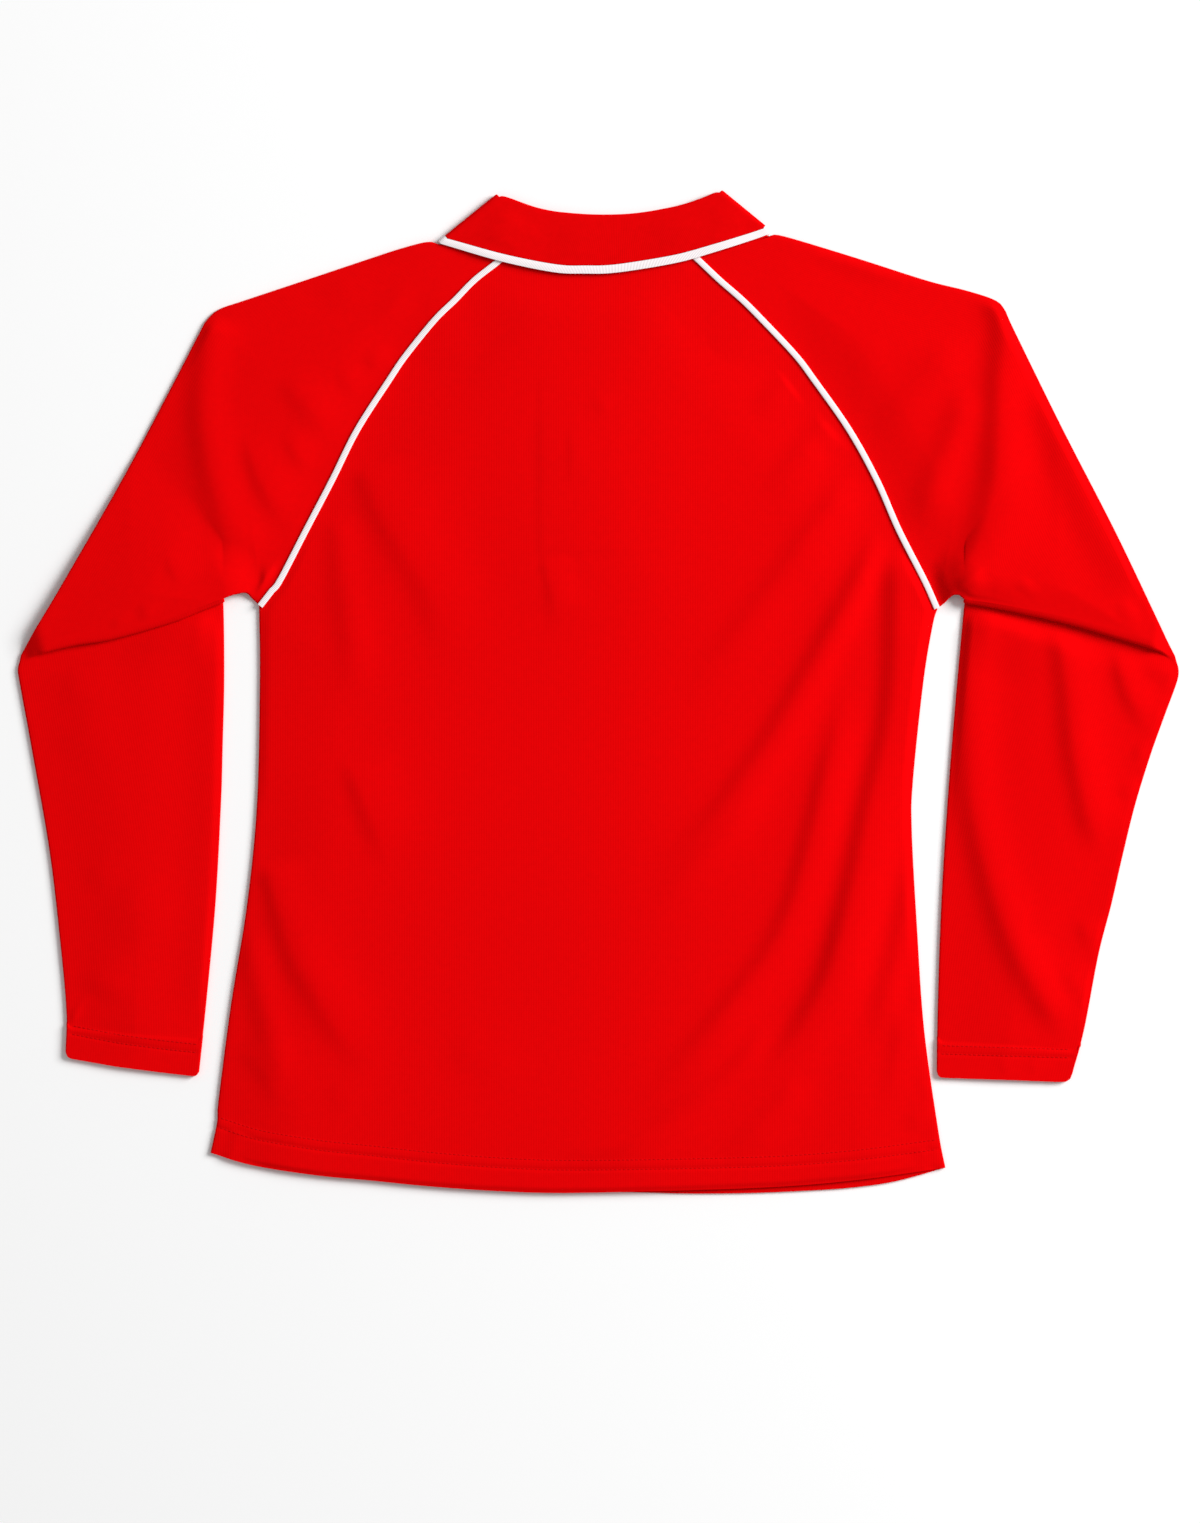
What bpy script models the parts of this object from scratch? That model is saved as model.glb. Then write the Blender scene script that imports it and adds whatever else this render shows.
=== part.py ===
"""A long-sleeved polo shirt, laid face down on a flat surface.

Every piece is a wall of cloth at its real thickness. Tables and sizes are in millimetres; the meshes are in
metres. +Y points to the collar, +Z away from the surface, and the origin is under the middle of the shirt.
"""
import math
from collections import namedtuple

import bmesh
import bpy
import numpy as np

MM = 0.001

# ---- driving sizes -------------------------------------------------------------------------------------------
WALL = 1.0                 # body and sleeve cloth
COLLAR_WALL = 1.2          # the collar's thicker knit
SEAM_GAP = 0.3             # between two pieces that are sewn together
NECK_GAP = 0.6             # between a sleeve and the collar, whose curves are drawn with fewer points
HALF = 1.3                 # half of the two cloths and the air between them, at an edge
BODY_RISE = 1.9            # how much higher the back lies in its middle than at its edges
BODY_RISE_REACH = 15.0     # how far in from the edge that height is reached
BODY_SWING = 1.75          # most that a fold lifts or lowers the back
HEM_DEPTH = 20.0
HEM_EXTRA = 0.7            # the turned-up hem is thicker by this, on its inner side
CUFF_EXTRA = 0.4
CUFF_DEPTH = 24.0

TAPE_WIDTH = 5.3           # along the raglan seams
TAPE_WALL = 1.0
COLLAR_TAPE_WIDTH = 6.5    # along the collar's edge

PLACKET_LEFT, PLACKET_RIGHT = -28.0, 8.0
PLACKET_FOOT = 105.0
PLACKET_LIFT = 2.3         # the buttons lie under the placket and hold it up
PLACKET_REACH = 24.0       # how far beside the placket the front comes back down
PLACKET_TOP = 5.95         # the back's height where it lies over the placket
PLACKET_MARGIN, PLACKET_FALL = 10.0, 12.0   # how far beside the placket it keeps that height, and then falls
BUTTON_RADIUS, BUTTON_THICK = 5.5, 2.0
BUTTON_X = -10.0
BUTTON_ROWS = (250.0, 200.0, 150.0)

COLLAR_MID = 2.9           # height that the collar's layers wrap around at its two sides
STAND_RADIUS = 0.8         # from that height to the middle of the stand's wall
LEAF_RADIUS = 2.3          # and to the middle of the leaf's wall
LEAF_SLOPE = 1.6           # rise of the back leaf from its roll to its edge
LEAF_LIFT = 1.5            # the front leaf lies under the front and lifts it by this
LEAF_MARGIN = 14.0         # how far beside the leaf the cloth stays lifted, and how far out it comes back down
LEAF_REACH = 45.0

FOLD_RADIUS = 1.53         # middle of the flattened sleeve, where it turns at the elbow
FOLD_OPEN = 22.0           # distance from the outer elbow over which the fold closes to a half turn
FOLD_STEP = 2.4            # least length of a turn
FOLD_RATIO = 0.15          # depth of the fold for each millimetre from where it is closed
FOLD_SHALLOW = 0.8         # depth of the fold where it starts to close
UNDER_MARGIN = 9.0         # how far past the fold beneath it the upper sleeve keeps its height
RAMP_LEAST, RAMP_MOST = 11.0, 60.0   # length over which it then comes down
RAMP_GROWTH = 0.5          # how much longer that is for each millimetre away from the armpit
PUFF_UPPER, PUFF_LOWER = 0.6, 0.4    # how much the middle of a sleeve's upper face stands above its edges
PUFF_OFF_SEAM = 14.0       # how far from a seam, or from the elbow, the puff comes to its full height
PUFF_OFF_FOLD = 20.0
PUFF_OFF_UNDER = 30.0

RED = (0.78, 0.004, 0.008, 1.0)
WHITE = (0.86, 0.84, 0.85, 1.0)
PEARL = (0.72, 0.03, 0.04, 1.0)

# ---- outlines (x, y) -----------------------------------------------------------------------------------------
RAGLAN_LEFT = ((-64.0, 320.5), (-73.9, 311.8), (-90.6, 298.7), (-104.8, 284.2), (-119.6, 269.7), (-140.3, 244.3),
               (-152.6, 226.2), (-175.8, 190.0), (-193.9, 153.7), (-212.8, 117.5), (-231.6, 81.2), (-244.3, 62.4))
RAGLAN_RIGHT = ((62.5, 322.0), (72.1, 313.2), (87.4, 298.7), (104.0, 284.2), (118.5, 269.7), (142.5, 244.3),
                (156.2, 226.2), (181.6, 190.0), (201.6, 153.7), (217.5, 117.5), (236.0, 81.2), (243.2, 63.1))
SIDE_LEFT = ((-244.3, 62.4), (-245.8, 8.7), (-248.0, -81.9), (-255.2, -154.4), (-266.8, -226.9), (-276.2, -299.4),
             (-280.6, -333.5))
SIDE_RIGHT = ((243.2, 63.1), (234.2, 8.7), (226.9, -63.8), (226.2, -100.1), (229.8, -172.6), (234.9, -245.1),
              (245.1, -317.6), (250.0, -343.7))
HEM_BACK = ((-280.6, -333.5), (-250.9, -342.2), (-205.2, -349.5), (-129.8, -356.0), (0.7, -361.1), (66.0, -360.3),
            (134.9, -358.2), (191.4, -353.1), (250.0, -343.7))
HEM_FRONT = ((-280.6, -333.5), (-250.9, -341.0), (-205.2, -348.0), (-129.8, -355.0), (0.7, -361.3), (66.0, -364.2),
             (110.0, -364.7), (155.0, -362.0), (215.0, -354.0), (250.0, -343.7))
NECK_BACK = ((-98.5, 334.5), (-64.0, 321.0), (0.0, 316.0), (62.5, 322.5), (110.0, 339.0))
NECK_FRONT_LEFT = ((-98.5, 334.5), (-91.5, 318.5), (-83.5, 304.5), (-60.0, 284.5), (-28.0, 270.5), (-11.0, 268.0))
NECK_FRONT_RIGHT = ((110.0, 339.0), (99.3, 318.2), (88.0, 298.2), (66.0, 282.5), (26.0, 270.5), (-9.0, 268.0))

FRONT_CORNER_LEFT = (-83.9, 304.2)     # where the front raglan seams meet the front neck
FRONT_CORNER_RIGHT = (88.0, 297.8)

# The collar's roll, where it turns over, and the outer edge of its leaf
ROLL_BACK = ((-71.5, 357.5), (-59.0, 352.8), (-40.6, 348.0), (3.6, 344.4), (50.0, 348.7), (70.0, 355.3),
             (87.0, 360.5))
LEAF_BACK = ((-114.6, 324.6), (-72.1, 312.4), (-33.4, 304.6), (-11.1, 303.6), (13.1, 304.5), (55.5, 311.5),
             (84.8, 319.4), (121.6, 331.0))
ROLL_FRONT_LEFT = ((-71.5, 357.5), (-50.0, 328.0), (-30.0, 302.0), (-11.0, 287.0))
ROLL_FRONT_RIGHT = ((87.0, 360.5), (60.0, 329.0), (26.0, 302.0), (-9.0, 287.0))
LEAF_FRONT_LEFT = ((-114.6, 324.6), (-96.0, 276.0), (-66.0, 228.0))
LEAF_FRONT_RIGHT = ((121.6, 331.0), (96.0, 276.0), (52.0, 228.0))

# A sleeve: its outer and inner edges above and below the elbow, where it folds, and its cuff
SleeveShape = namedtuple("SleeveShape", "side shoulder outer_upper inner_upper fold outer_lower inner_lower cuff")
LEFT_SLEEVE = SleeveShape(
    side=-1,
    shoulder=(-99.5, 334.2),
    outer_upper=((-99.5, 334.2), (-113.8, 323.6), (-119.5, 321.8), (-147.9, 318.8), (-169.7, 311.8),
                 (-212.4, 297.4), (-255.9, 282.9), (-274.5, 276.4), (-283.2, 268.9), (-287.4, 261.9),
                 (-306.2, 225.6), (-344.6, 153.1), (-386.0, 80.6), (-407.7, 44.4), (-417.7, 27.0)),
    inner_upper=((-245.9, 64.9), (-251.0, 70.5), (-259.0, 73.0), (-267.0, 72.0), (-272.8, 67.3)),
    fold=((-417.7, 27.0), (-382.8, 35.5), (-357.4, 39.5), (-332.1, 46.0), (-306.0, 54.0), (-290.7, 60.3),
          (-272.8, 67.3)),
    outer_lower=((-419.9, 17.4), (-419.0, 8.7), (-409.1, -45.7), (-396.7, -118.2), (-388.7, -190.7),
                 (-385.1, -235.0), (-385.1, -264.6)),
    inner_lower=((-275.0, 62.0), (-276.0, 8.7), (-277.5, -81.9), (-280.4, -154.4), (-287.0, -226.9),
                 (-292.0, -278.4)),
    cuff=((-385.1, -264.6), (-292.0, -278.4)))
RIGHT_SLEEVE = SleeveShape(
    side=1,
    shoulder=(111.5, 338.3),
    outer_upper=((111.5, 338.3), (121.5, 329.8), (126.5, 327.8), (142.0, 325.6), (168.2, 319.1),
                 (192.1, 311.8), (237.1, 297.3), (265.4, 290.1), (286.0, 283.2), (293.2, 276.0),
                 (299.6, 262.0), (335.2, 189.5), (372.2, 117.0), (407.0, 44.5), (416.2, 27.0)),
    inner_upper=((244.9, 65.6), (248.5, 69.8), (255.0, 72.0), (261.5, 71.2), (265.5, 66.8)),
    fold=((416.2, 27.0), (400.2, 34.0), (371.2, 42.7), (337.9, 52.2), (293.6, 62.0), (265.5, 66.8)),
    outer_lower=((418.5, 17.4), (417.0, 8.7), (397.5, -45.7), (377.2, -118.2), (359.8, -190.7),
                 (349.6, -245.1), (339.5, -282.0)),
    inner_lower=((265.9, 62.0), (259.4, -9.4), (253.6, -81.9), (249.3, -154.4), (247.1, -226.9),
                 (246.4, -279.1)),
    cuff=((339.5, -282.0), (246.4, -279.1)))

# ---- folds: how high the crest (or how deep the trough), how wide, and the line it follows ---------------------
Crease = namedtuple("Crease", "height width line")
BACK_CREASES = (
    Crease(-2.1, 13.0, ((213, 110), (204, 23), (187, -62), (170, -133), (149, -200), (120, -258), (73, -312))),
    Crease(1.0, 9.0, ((231, 96), (222, 9), (214, -35), (207, -71))),
    Crease(1.4, 13.0, ((186, 9), (166, -71), (142, -151), (106, -223), (77, -256))),
    Crease(1.2, 12.0, ((204, 117), (159, 27), (117, -57), (70, -115), (44, -140))),
    Crease(0.8, 12.0, ((190, 161), (157, 112), (122, 61), (83, 17))),
    Crease(-0.7, 10.0, ((120, -71), (91, -109), (66, -130), (12, -187))),
    Crease(-0.9, 10.0, ((129, -222), (104, -250), (78, -284), (47, -307), (6, -328), (-22, -332))),
    Crease(-1.0, 9.0, ((221, -121), (218, -168), (210, -203), (198, -244))),
    Crease(-0.8, 9.0, ((165, 197), (117, 154))),
    Crease(-1.2, 10.0, ((-204, 90), (-204, 67), (-206, 20))),
    Crease(1.0, 10.0, ((-180, 103), (-180, 52), (-176, 10))),
    Crease(-0.9, 9.0, ((-175, 168), (-157, 122), (-142, 96), (-130, 72), (-120, 23), (-122, -1))),
    Crease(0.8, 10.0, ((-160, 168), (-144, 122), (-128, 92), (-115, 60), (-106, 20))),
    Crease(-0.9, 9.0, ((-188, -49), (-181, -67), (-173, -93), (-164, -121))),
    Crease(-1.2, 9.0, ((-245, -124), (-236, -165), (-223, -196), (-207, -225), (-195, -250), (-179, -269))),
    Crease(1.0, 11.0, ((-233, -112), (-211, -170), (-195, -209), (-178, -243))),
)
LEFT_UPPER_CREASES = (
    Crease(1.3, 13.0, ((-281, 250), (-274, 200), (-268, 150), (-262, 115))),
    Crease(1.0, 12.0, ((-236, 170), (-226, 140), (-214, 120))),
    Crease(0.9, 12.0, ((-240, 232), (-208, 196), (-188, 172))),
)
RIGHT_UPPER_CREASES = (
    Crease(1.5, 13.0, ((279, 272), (270, 215), (253, 165), (240, 130))),
    Crease(1.1, 14.0, ((305, 200), (326, 150), (352, 95), (370, 62))),
    Crease(0.9, 12.0, ((300, 190), (297, 145), (282, 110), (268, 88))),
)
LEFT_LOWER_CREASES = (Crease(0.8, 14.0, ((-305, 0), (-303, -100), (-312, -200))),
                      Crease(0.8, 16.0, ((-350, 10), (-345, -100), (-345, -210))))
RIGHT_LOWER_CREASES = (Crease(1.0, 14.0, ((275, -85), (286, -165), (304, -225))),
                       Crease(0.9, 14.0, ((345, 20), (352, -60), (340, -130))))


# ---- curves and heights --------------------------------------------------------------------------------------
def smooth_curve(table, count):
    """Evenly spaced points along a smooth curve through the table's points."""
    return curve_shares(table, np.linspace(0, 1, count))


def curve_shares(table, shares):
    """Points at the given shares of the length of a Catmull-Rom curve through the table's points."""
    knots = np.array(table, float)
    if len(knots) == 2:
        return resample(knots, shares)
    padded = np.vstack([2 * knots[0] - knots[1], knots, 2 * knots[-1] - knots[-2]])
    t = np.linspace(0, 1, 24, endpoint=False)[:, None]
    spans = []
    for a, b, c, d in zip(padded, padded[1:], padded[2:], padded[3:]):
        bend = (2 * a - 5 * b + 4 * c - d) * t ** 2 + (3 * b - a - 3 * c + d) * t ** 3
        spans.append(0.5 * (2 * b + (c - a) * t + bend))
    return resample(np.vstack(spans + [knots[-1:]]), shares)


def resample(points, fractions):
    """Points at the given fractions of a polyline's length."""
    run = travelled(points)
    return np.stack([np.interp(fractions, run / run[-1], values) for values in points.T], axis=1)


def travelled(points):
    """Length from a polyline's start to each of its points."""
    steps = np.linalg.norm(np.diff(points, axis=0), axis=1)
    return np.concatenate([[0.0], np.cumsum(steps)])


def unit(vectors):
    """Vectors scaled to a length of one."""
    return vectors / np.maximum(np.linalg.norm(vectors, axis=-1, keepdims=True), 1e-9)


def side_normals(points):
    """For each point of a plan polyline, the unit direction to the left of the way it runs."""
    ways = np.gradient(points, axis=0)
    return unit(np.stack([-ways[:, 1], ways[:, 0]], axis=1))


def ease(value):
    """Smooth step from 0 at 0 to 1 at 1."""
    value = np.clip(value, 0.0, 1.0)
    return value * value * (3.0 - 2.0 * value)


def distance_to_line(plan, line):
    """Distance from each plan point to a polyline, and how far along it (0 to 1) the nearest point lies."""
    line = np.array(line, float)
    run = travelled(line)
    nearest = np.full(plan.shape[:-1], 1e9)
    along = np.zeros(plan.shape[:-1])
    for start, end, before, after in zip(line, line[1:], run, run[1:]):
        way = end - start
        t = np.clip(((plan - start) @ way) / (way @ way), 0.0, 1.0)
        gap = np.linalg.norm(plan - (start + t[..., None] * way), axis=-1)
        closer = gap < nearest
        nearest = np.where(closer, gap, nearest)
        along = np.where(closer, (before + t * (after - before)) / run[-1], along)
    return nearest, along


def distance_to_shape(plan, corners):
    """Distance from each plan point to a closed shape, and 0 inside it."""
    ring = np.array(corners, float)
    gap, _ = distance_to_line(plan, np.vstack([ring, ring[:1]]))
    inside = np.zeros(plan.shape[:-1], bool)
    for (ax, ay), (bx, by) in zip(ring, np.roll(ring, -1, axis=0)):
        if ay != by:
            crosses = (plan[..., 1] < ay) != (plan[..., 1] < by)
            inside ^= crosses & (plan[..., 0] < ax + (plan[..., 1] - ay) * (bx - ax) / (by - ay))
    return np.where(inside, 0.0, gap)


def creases_height(plan, creases):
    """Height that a table of creases adds: each a bell across its line that fades at both ends."""
    total = np.zeros(plan.shape[:-1])
    for crease in creases:
        gap, along = distance_to_line(plan, crease.line)
        ends = ease(along / 0.2) * ease((1.0 - along) / 0.2)
        total += crease.height * np.exp(-(gap / crease.width) ** 2) * ends
    return total


def leaf_shapes():
    """Plan shapes of the two halves of the front leaf, which lie under the front."""
    return [ROLL_FRONT_LEFT + LEAF_FRONT_LEFT[::-1], ROLL_FRONT_RIGHT + LEAF_FRONT_RIGHT[::-1]]


def leaf_lift(plan):
    """How far the front leaf lifts the cloth above it."""
    gap = np.minimum(*[distance_to_shape(plan, shape) for shape in leaf_shapes()])
    return LEAF_LIFT * (1.0 - ease((gap - LEAF_MARGIN) / LEAF_REACH))


def beside_placket(plan, margin):
    """Distance to the placket, grown by a margin, and 0 over it."""
    top = NECK_FRONT_LEFT[-1][1]
    left, right, foot = PLACKET_LEFT - margin, PLACKET_RIGHT + margin, PLACKET_FOOT - margin
    top += margin
    return distance_to_shape(plan, ((left, foot), (right, foot), (right, top), (left, top)))


def front_height(plan):
    """Height of the front's outer face, which is its lower one: 0 where it rests."""
    placket = PLACKET_LIFT * (1.0 - ease(beside_placket(plan, 1.0) / PLACKET_REACH))
    return np.maximum(leaf_lift(plan), placket)


def cloth_thickness(plan, hem):
    """A body panel's thickness, which grows at the hem."""
    at_hem = distance_to_line(plan, hem)[0] < HEM_DEPTH
    return WALL + HEM_EXTRA * at_hem * ease((edge_distance(plan) - 4.0) / 12.0)


def lowered(curve):
    """A neck curve moved down by the gap to the collar's stand."""
    return tuple((x, y - SEAM_GAP - 0.1) for x, y in curve)


def edge_distance(plan):
    """Distance to the nearest raglan or side seam."""
    seams = (RAGLAN_LEFT, SIDE_LEFT, RAGLAN_RIGHT, SIDE_RIGHT)
    return np.minimum.reduce([distance_to_line(plan, seam)[0] for seam in seams])


def back_height(plan):
    """Height of the back's outer face."""
    inward = edge_distance(plan) - TAPE_WIDTH / 2 - 1.0
    folded = BODY_RISE + BODY_SWING * np.tanh(creases_height(plan, BACK_CREASES) / BODY_SWING)
    height = 2 * HALF + np.maximum(folded * ease(inward / BODY_RISE_REACH), leaf_lift(plan))
    over_placket = 1.0 - ease(beside_placket(plan, PLACKET_MARGIN) / PLACKET_FALL)
    height = height + np.maximum(PLACKET_TOP - height, 0.0) * over_placket
    inside = front_height(plan) + cloth_thickness(plan, HEM_FRONT) + cloth_thickness(plan, HEM_BACK)
    return np.maximum(height, inside + 0.4)


# ---- meshes --------------------------------------------------------------------------------------------------
def material(name, colour, roughness):
    """A plain coloured surface."""
    made = bpy.data.materials.new(name)
    made.use_nodes = True
    shader = made.node_tree.nodes["Principled BSDF"]
    shader.inputs["Base Color"].default_value = colour
    shader.inputs["Roughness"].default_value = roughness
    shader.inputs["Metallic"].default_value = 0.0
    return made


def cloth_wall(name, outer, inner, colour, keep=None, tube=False):
    """One closed wall between two grids of points, both (rows, columns, 3) in millimetres.

    keep marks the cells that are cloth, so a cell left out makes a notch. A tube's last column meets its first.
    """
    rows, columns = outer.shape[:2]
    across = columns if tube else columns - 1
    if keep is None:
        keep = np.ones((rows - 1, across), bool)
    index = np.arange(rows * columns).reshape(rows, columns)
    skin = rows * columns
    faces = []
    edges = {}
    for row, column in zip(*np.nonzero(keep)):
        right = (column + 1) % columns
        corners = [index[row, column], index[row, right], index[row + 1, right], index[row + 1, column]]
        corners = [int(corner) for corner in corners]
        faces.append(corners)
        faces.append([corner + skin for corner in reversed(corners)])
        for start, end in zip(corners, corners[1:] + corners[:1]):
            edges[(start, end)] = True
    rims = [(start, end) for start, end in edges if (end, start) not in edges]
    faces += [[end, start, start + skin, end + skin] for start, end in rims]
    points = np.concatenate([outer.reshape(-1, 3), inner.reshape(-1, 3)]) * MM
    used = sorted({corner for face in faces for corner in face})
    place = {old: new for new, old in enumerate(used)}
    mesh = bpy.data.meshes.new(name)
    mesh.from_pydata(points[used].tolist(), [], [[place[corner] for corner in face] for face in faces])
    shape = bmesh.new()
    shape.from_mesh(mesh)
    bmesh.ops.triangulate(shape, faces=shape.faces[:], quad_method="SHORT_EDGE")
    bmesh.ops.recalc_face_normals(shape, faces=shape.faces[:])
    shape.to_mesh(mesh)
    shape.free()
    return add_object(name, mesh, colour, 0.85)


def add_object(name, mesh, colour, roughness):
    """Put a mesh in the scene as an object with its own material."""
    mesh.materials.append(material(name, colour, roughness))
    mesh.shade_smooth()
    mesh.set_sharp_from_angle(angle=math.radians(50))
    made = bpy.data.objects.new(name, mesh)
    bpy.context.collection.objects.link(made)
    return made


def grid_normals(points):
    """Unit normals of a grid, from the ways its rows and columns run."""
    down = np.gradient(points, axis=0)
    across = np.gradient(points, axis=1)
    return unit(np.cross(across, down))


def patch(top, bottom, left, right, fractions, down=None, fade=1.0):
    """A grid filled in between four edges that share their corners.

    top and bottom run left to right with the same number of points, left and right run top to bottom. fractions
    says how far across each point of each row lies, and down how far down each row lies. The shapes of the top
    and the bottom fade out towards each other, the faster the larger fade is.
    """
    down = np.linspace(0, 1, len(left)) if down is None else down
    down = down[:, None, None]
    across = fractions[..., None]
    top_shape = top[None] - (top[0] * (1 - across) + top[-1] * across)
    bottom_shape = bottom[None] - (bottom[0] * (1 - across) + bottom[-1] * across)
    between_sides = left[:, None] * (1 - across) + right[:, None] * across
    return between_sides + top_shape * (1 - down) ** fade + bottom_shape * down ** fade


# ---- body panels ---------------------------------------------------------------------------------------------
RAGLAN_SPANS = 8           # straight stretches that a raglan seam is drawn with
ROWS_PER_SPAN = 2
SIDE_ROWS = 14
END_REACH = 12.0           # how far a neck or hem curve bends to meet the seams at its ends
RIM_STEPS = 2              # columns that turn a panel's rim towards its side seam
RIM_REACH = 1.9            # width of that rim where it lies flat, along the raglan seams


def raglan_points(table):
    """A raglan seam from the neck to the armpit, in the straight stretches that all its pieces share."""
    return smooth_curve(table, RAGLAN_SPANS + 1)


def subdivided(points, parts):
    """A polyline with each stretch cut into equal parts."""
    steps = np.arange(parts) / parts
    cut = [start + (end - start) * step for start, end in zip(points, points[1:]) for step in steps]
    return np.array(cut + [points[-1]])


def curve_at(curve, across, start, end):
    """Points of a curve at the given x, bent near both ends so that it runs from start to end."""
    line = smooth_curve(curve, 200)
    height = np.interp(across, line[:, 0], line[:, 1])
    shifts = start[1] - height[0], end[1] - height[-1]
    for shift, end_x in zip(shifts, (start[0], end[0])):
        height = height + shift * (1.0 - ease(np.abs(across - end_x) / END_REACH))
    return np.stack([across, height], axis=1)


def column_shares(left, right, cells, notch):
    """How far across the panel each column of each row lies, with a narrow column beside each edge."""
    width = right[:, 0] - left[:, 0]
    if notch:
        stops = [(edge - left[:, 0]) / width for edge in notch]
        stops = [np.zeros_like(width), *stops, np.ones_like(width)]
        counts = (cells // 2, 2, cells // 2)
    else:
        stops = [np.zeros_like(width), np.ones_like(width)]
        counts = (cells,)
    shares = [stops[0][:, None]]
    for before, after, count in zip(stops, stops[1:], counts):
        steps = np.arange(1, count + 1) / count
        shares.append(before[:, None] + (after - before)[:, None] * steps)
    shares = np.hstack(shares)
    narrow = np.minimum(3.0 / width, shares[:, 1] / 2)[:, None]
    return np.hstack([shares[:, :1], narrow, shares[:, 1:-1], 1 - narrow, shares[:, -1:]])


def body_panel(name, raglans, neck, hem, height, face, cells, notch=None):
    """The back (face 1) or the front (face -1). height gives its outer face.

    Its rims curl towards the other panel down the side seams and lie flat along the raglan seams.
    """
    edges = []
    for raglan, side_seam, outward in ((raglans[0], SIDE_LEFT, -1), (raglans[1], SIDE_RIGHT, 1)):
        upper = subdivided(raglan_points(raglan), ROWS_PER_SPAN)
        edge = np.vstack([upper, smooth_curve(side_seam, SIDE_ROWS + 1)[1:]])
        edges.append((edge, outward * side_normals(edge)))
    on_raglan = np.arange(len(edges[0][0])) <= RAGLAN_SPANS * ROWS_PER_SPAN
    curl = math.acos(SEAM_GAP / 2 / HALF)
    reach = np.where(on_raglan, RIM_REACH + SEAM_GAP / 2, HALF * math.sin(curl))[:, None]
    (left, left_out), (right, right_out) = edges
    starts = [left - left_out * reach, right - right_out * reach]

    shares = column_shares(*starts, cells, notch)
    ends = []
    for row, curve in ((0, neck), (-1, hem)):
        start, end = starts[0][row], starts[1][row]
        ends.append(curve_at(curve, start[0] + shares[row] * (end[0] - start[0]), start, end))
    plan = patch(ends[0], ends[1], *starts, shares)
    keep = None
    if notch:
        plan, keep = cut_notch(plan, notch)

    middle = np.dstack([plan, height(plan)])
    normals = grid_normals(middle)
    normals *= np.sign(normals[..., 2:]) * face
    points, ways = [middle], [normals]
    for start, out, column in ((starts[0], left_out, 0), (starts[1], right_out, -1)):
        rim, rim_ways = [], []
        for step in range(1, RIM_STEPS + 1):
            flat = start + out * (RIM_REACH * step / RIM_STEPS)
            flat = np.column_stack([flat, height(flat)])
            turned = curl * step / RIM_STEPS
            curled = np.column_stack([start + out * HALF * math.sin(turned),
                                      middle[:, column, 2] - face * HALF * (1 - math.cos(turned))])
            rim.append(np.where(on_raglan[:, None], flat, curled))
            lean = math.pi / 2 * step / RIM_STEPS
            curled_way = np.column_stack([out * math.sin(lean), np.full(len(out), face * math.cos(lean))])
            rim_ways.append(np.where(on_raglan[:, None], normals[:, column], curled_way))
        at_left = column == 0
        points.insert(0 if at_left else len(points), np.stack(rim[::-1] if at_left else rim, axis=1))
        ways.insert(0 if at_left else len(ways), np.stack(rim_ways[::-1] if at_left else rim_ways, axis=1))
    outer = np.concatenate(points, axis=1)
    inner = outer - np.concatenate(ways, axis=1) * cloth_thickness(outer[..., :2], hem)[..., None]
    if keep is not None:
        keep = np.pad(keep, ((0, 0), (RIM_STEPS, RIM_STEPS)), constant_values=True)
    return cloth_wall(name, outer, inner, RED, keep=keep)


def cut_notch(plan, notch):
    """Line a panel's rows and columns up with the placket, and mark the cells that it takes the place of."""
    columns = [int(np.argmin(np.abs(plan[0, :, 0] - edge))) for edge in notch]
    for column, edge in zip(columns, notch):
        plan[:, column, 0] = edge
    foot = PLACKET_FOOT - SEAM_GAP
    row = int(np.argmin(np.abs(plan[:, columns[0], 1] - foot)))
    inside = slice(columns[0], columns[1] + 1)
    plan[row, inside, 1] = foot
    keep = np.ones((plan.shape[0] - 1, plan.shape[1] - 1), bool)
    keep[:row, columns[0]:columns[1]] = False
    return plan, keep


# ---- sleeves -------------------------------------------------------------------------------------------------
NECK_COLUMNS = 3           # a sleeve's columns along the neck; the rest run along the raglan seam
# How far down the sleeve its rings lie, close together round the shoulder and the elbow
UPPER_SHARES = (0.0, 0.03, 0.1, 0.2, 0.3, 0.38, 0.425, 0.455, 0.49, 0.58, 0.68, 0.79, 0.9, 1.0)
LOWER_SHARES = (0.0, 0.02, 0.05, 0.1, 0.18, 0.3, 0.43, 0.56, 0.69, 0.81, 0.92, 1.0)
UPPER_RINGS, LOWER_RINGS = len(UPPER_SHARES) - 1, len(LOWER_SHARES) - 1
RING_FADE = 2.5            # how fast the rings straighten away from the raglan seam and the elbow
UNDER_FACE_REACH = 0.4     # share of the upper sleeve over which its two faces' necklines differ
TURN_STEPS = 4
EDGE_STEPS = 4
ARMPIT_TRIM = 1.9          # the sleeve's edge stops this short of the armpit's corner
FOLD_COLUMNS = (0.0, 4.0, 8.0, 12.0, 16.0, 22.0, 34.0, 52.0, 74.0, 98.0, 122.0)


def crossing(one, other):
    """The point where the lines through two pairs of plan points cross."""
    way, other_way = one[1] - one[0], other[1] - other[0]
    t = np.linalg.solve(np.column_stack([way, -other_way]), other[0] - one[0])[0]
    return one[0] + way * t


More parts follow.
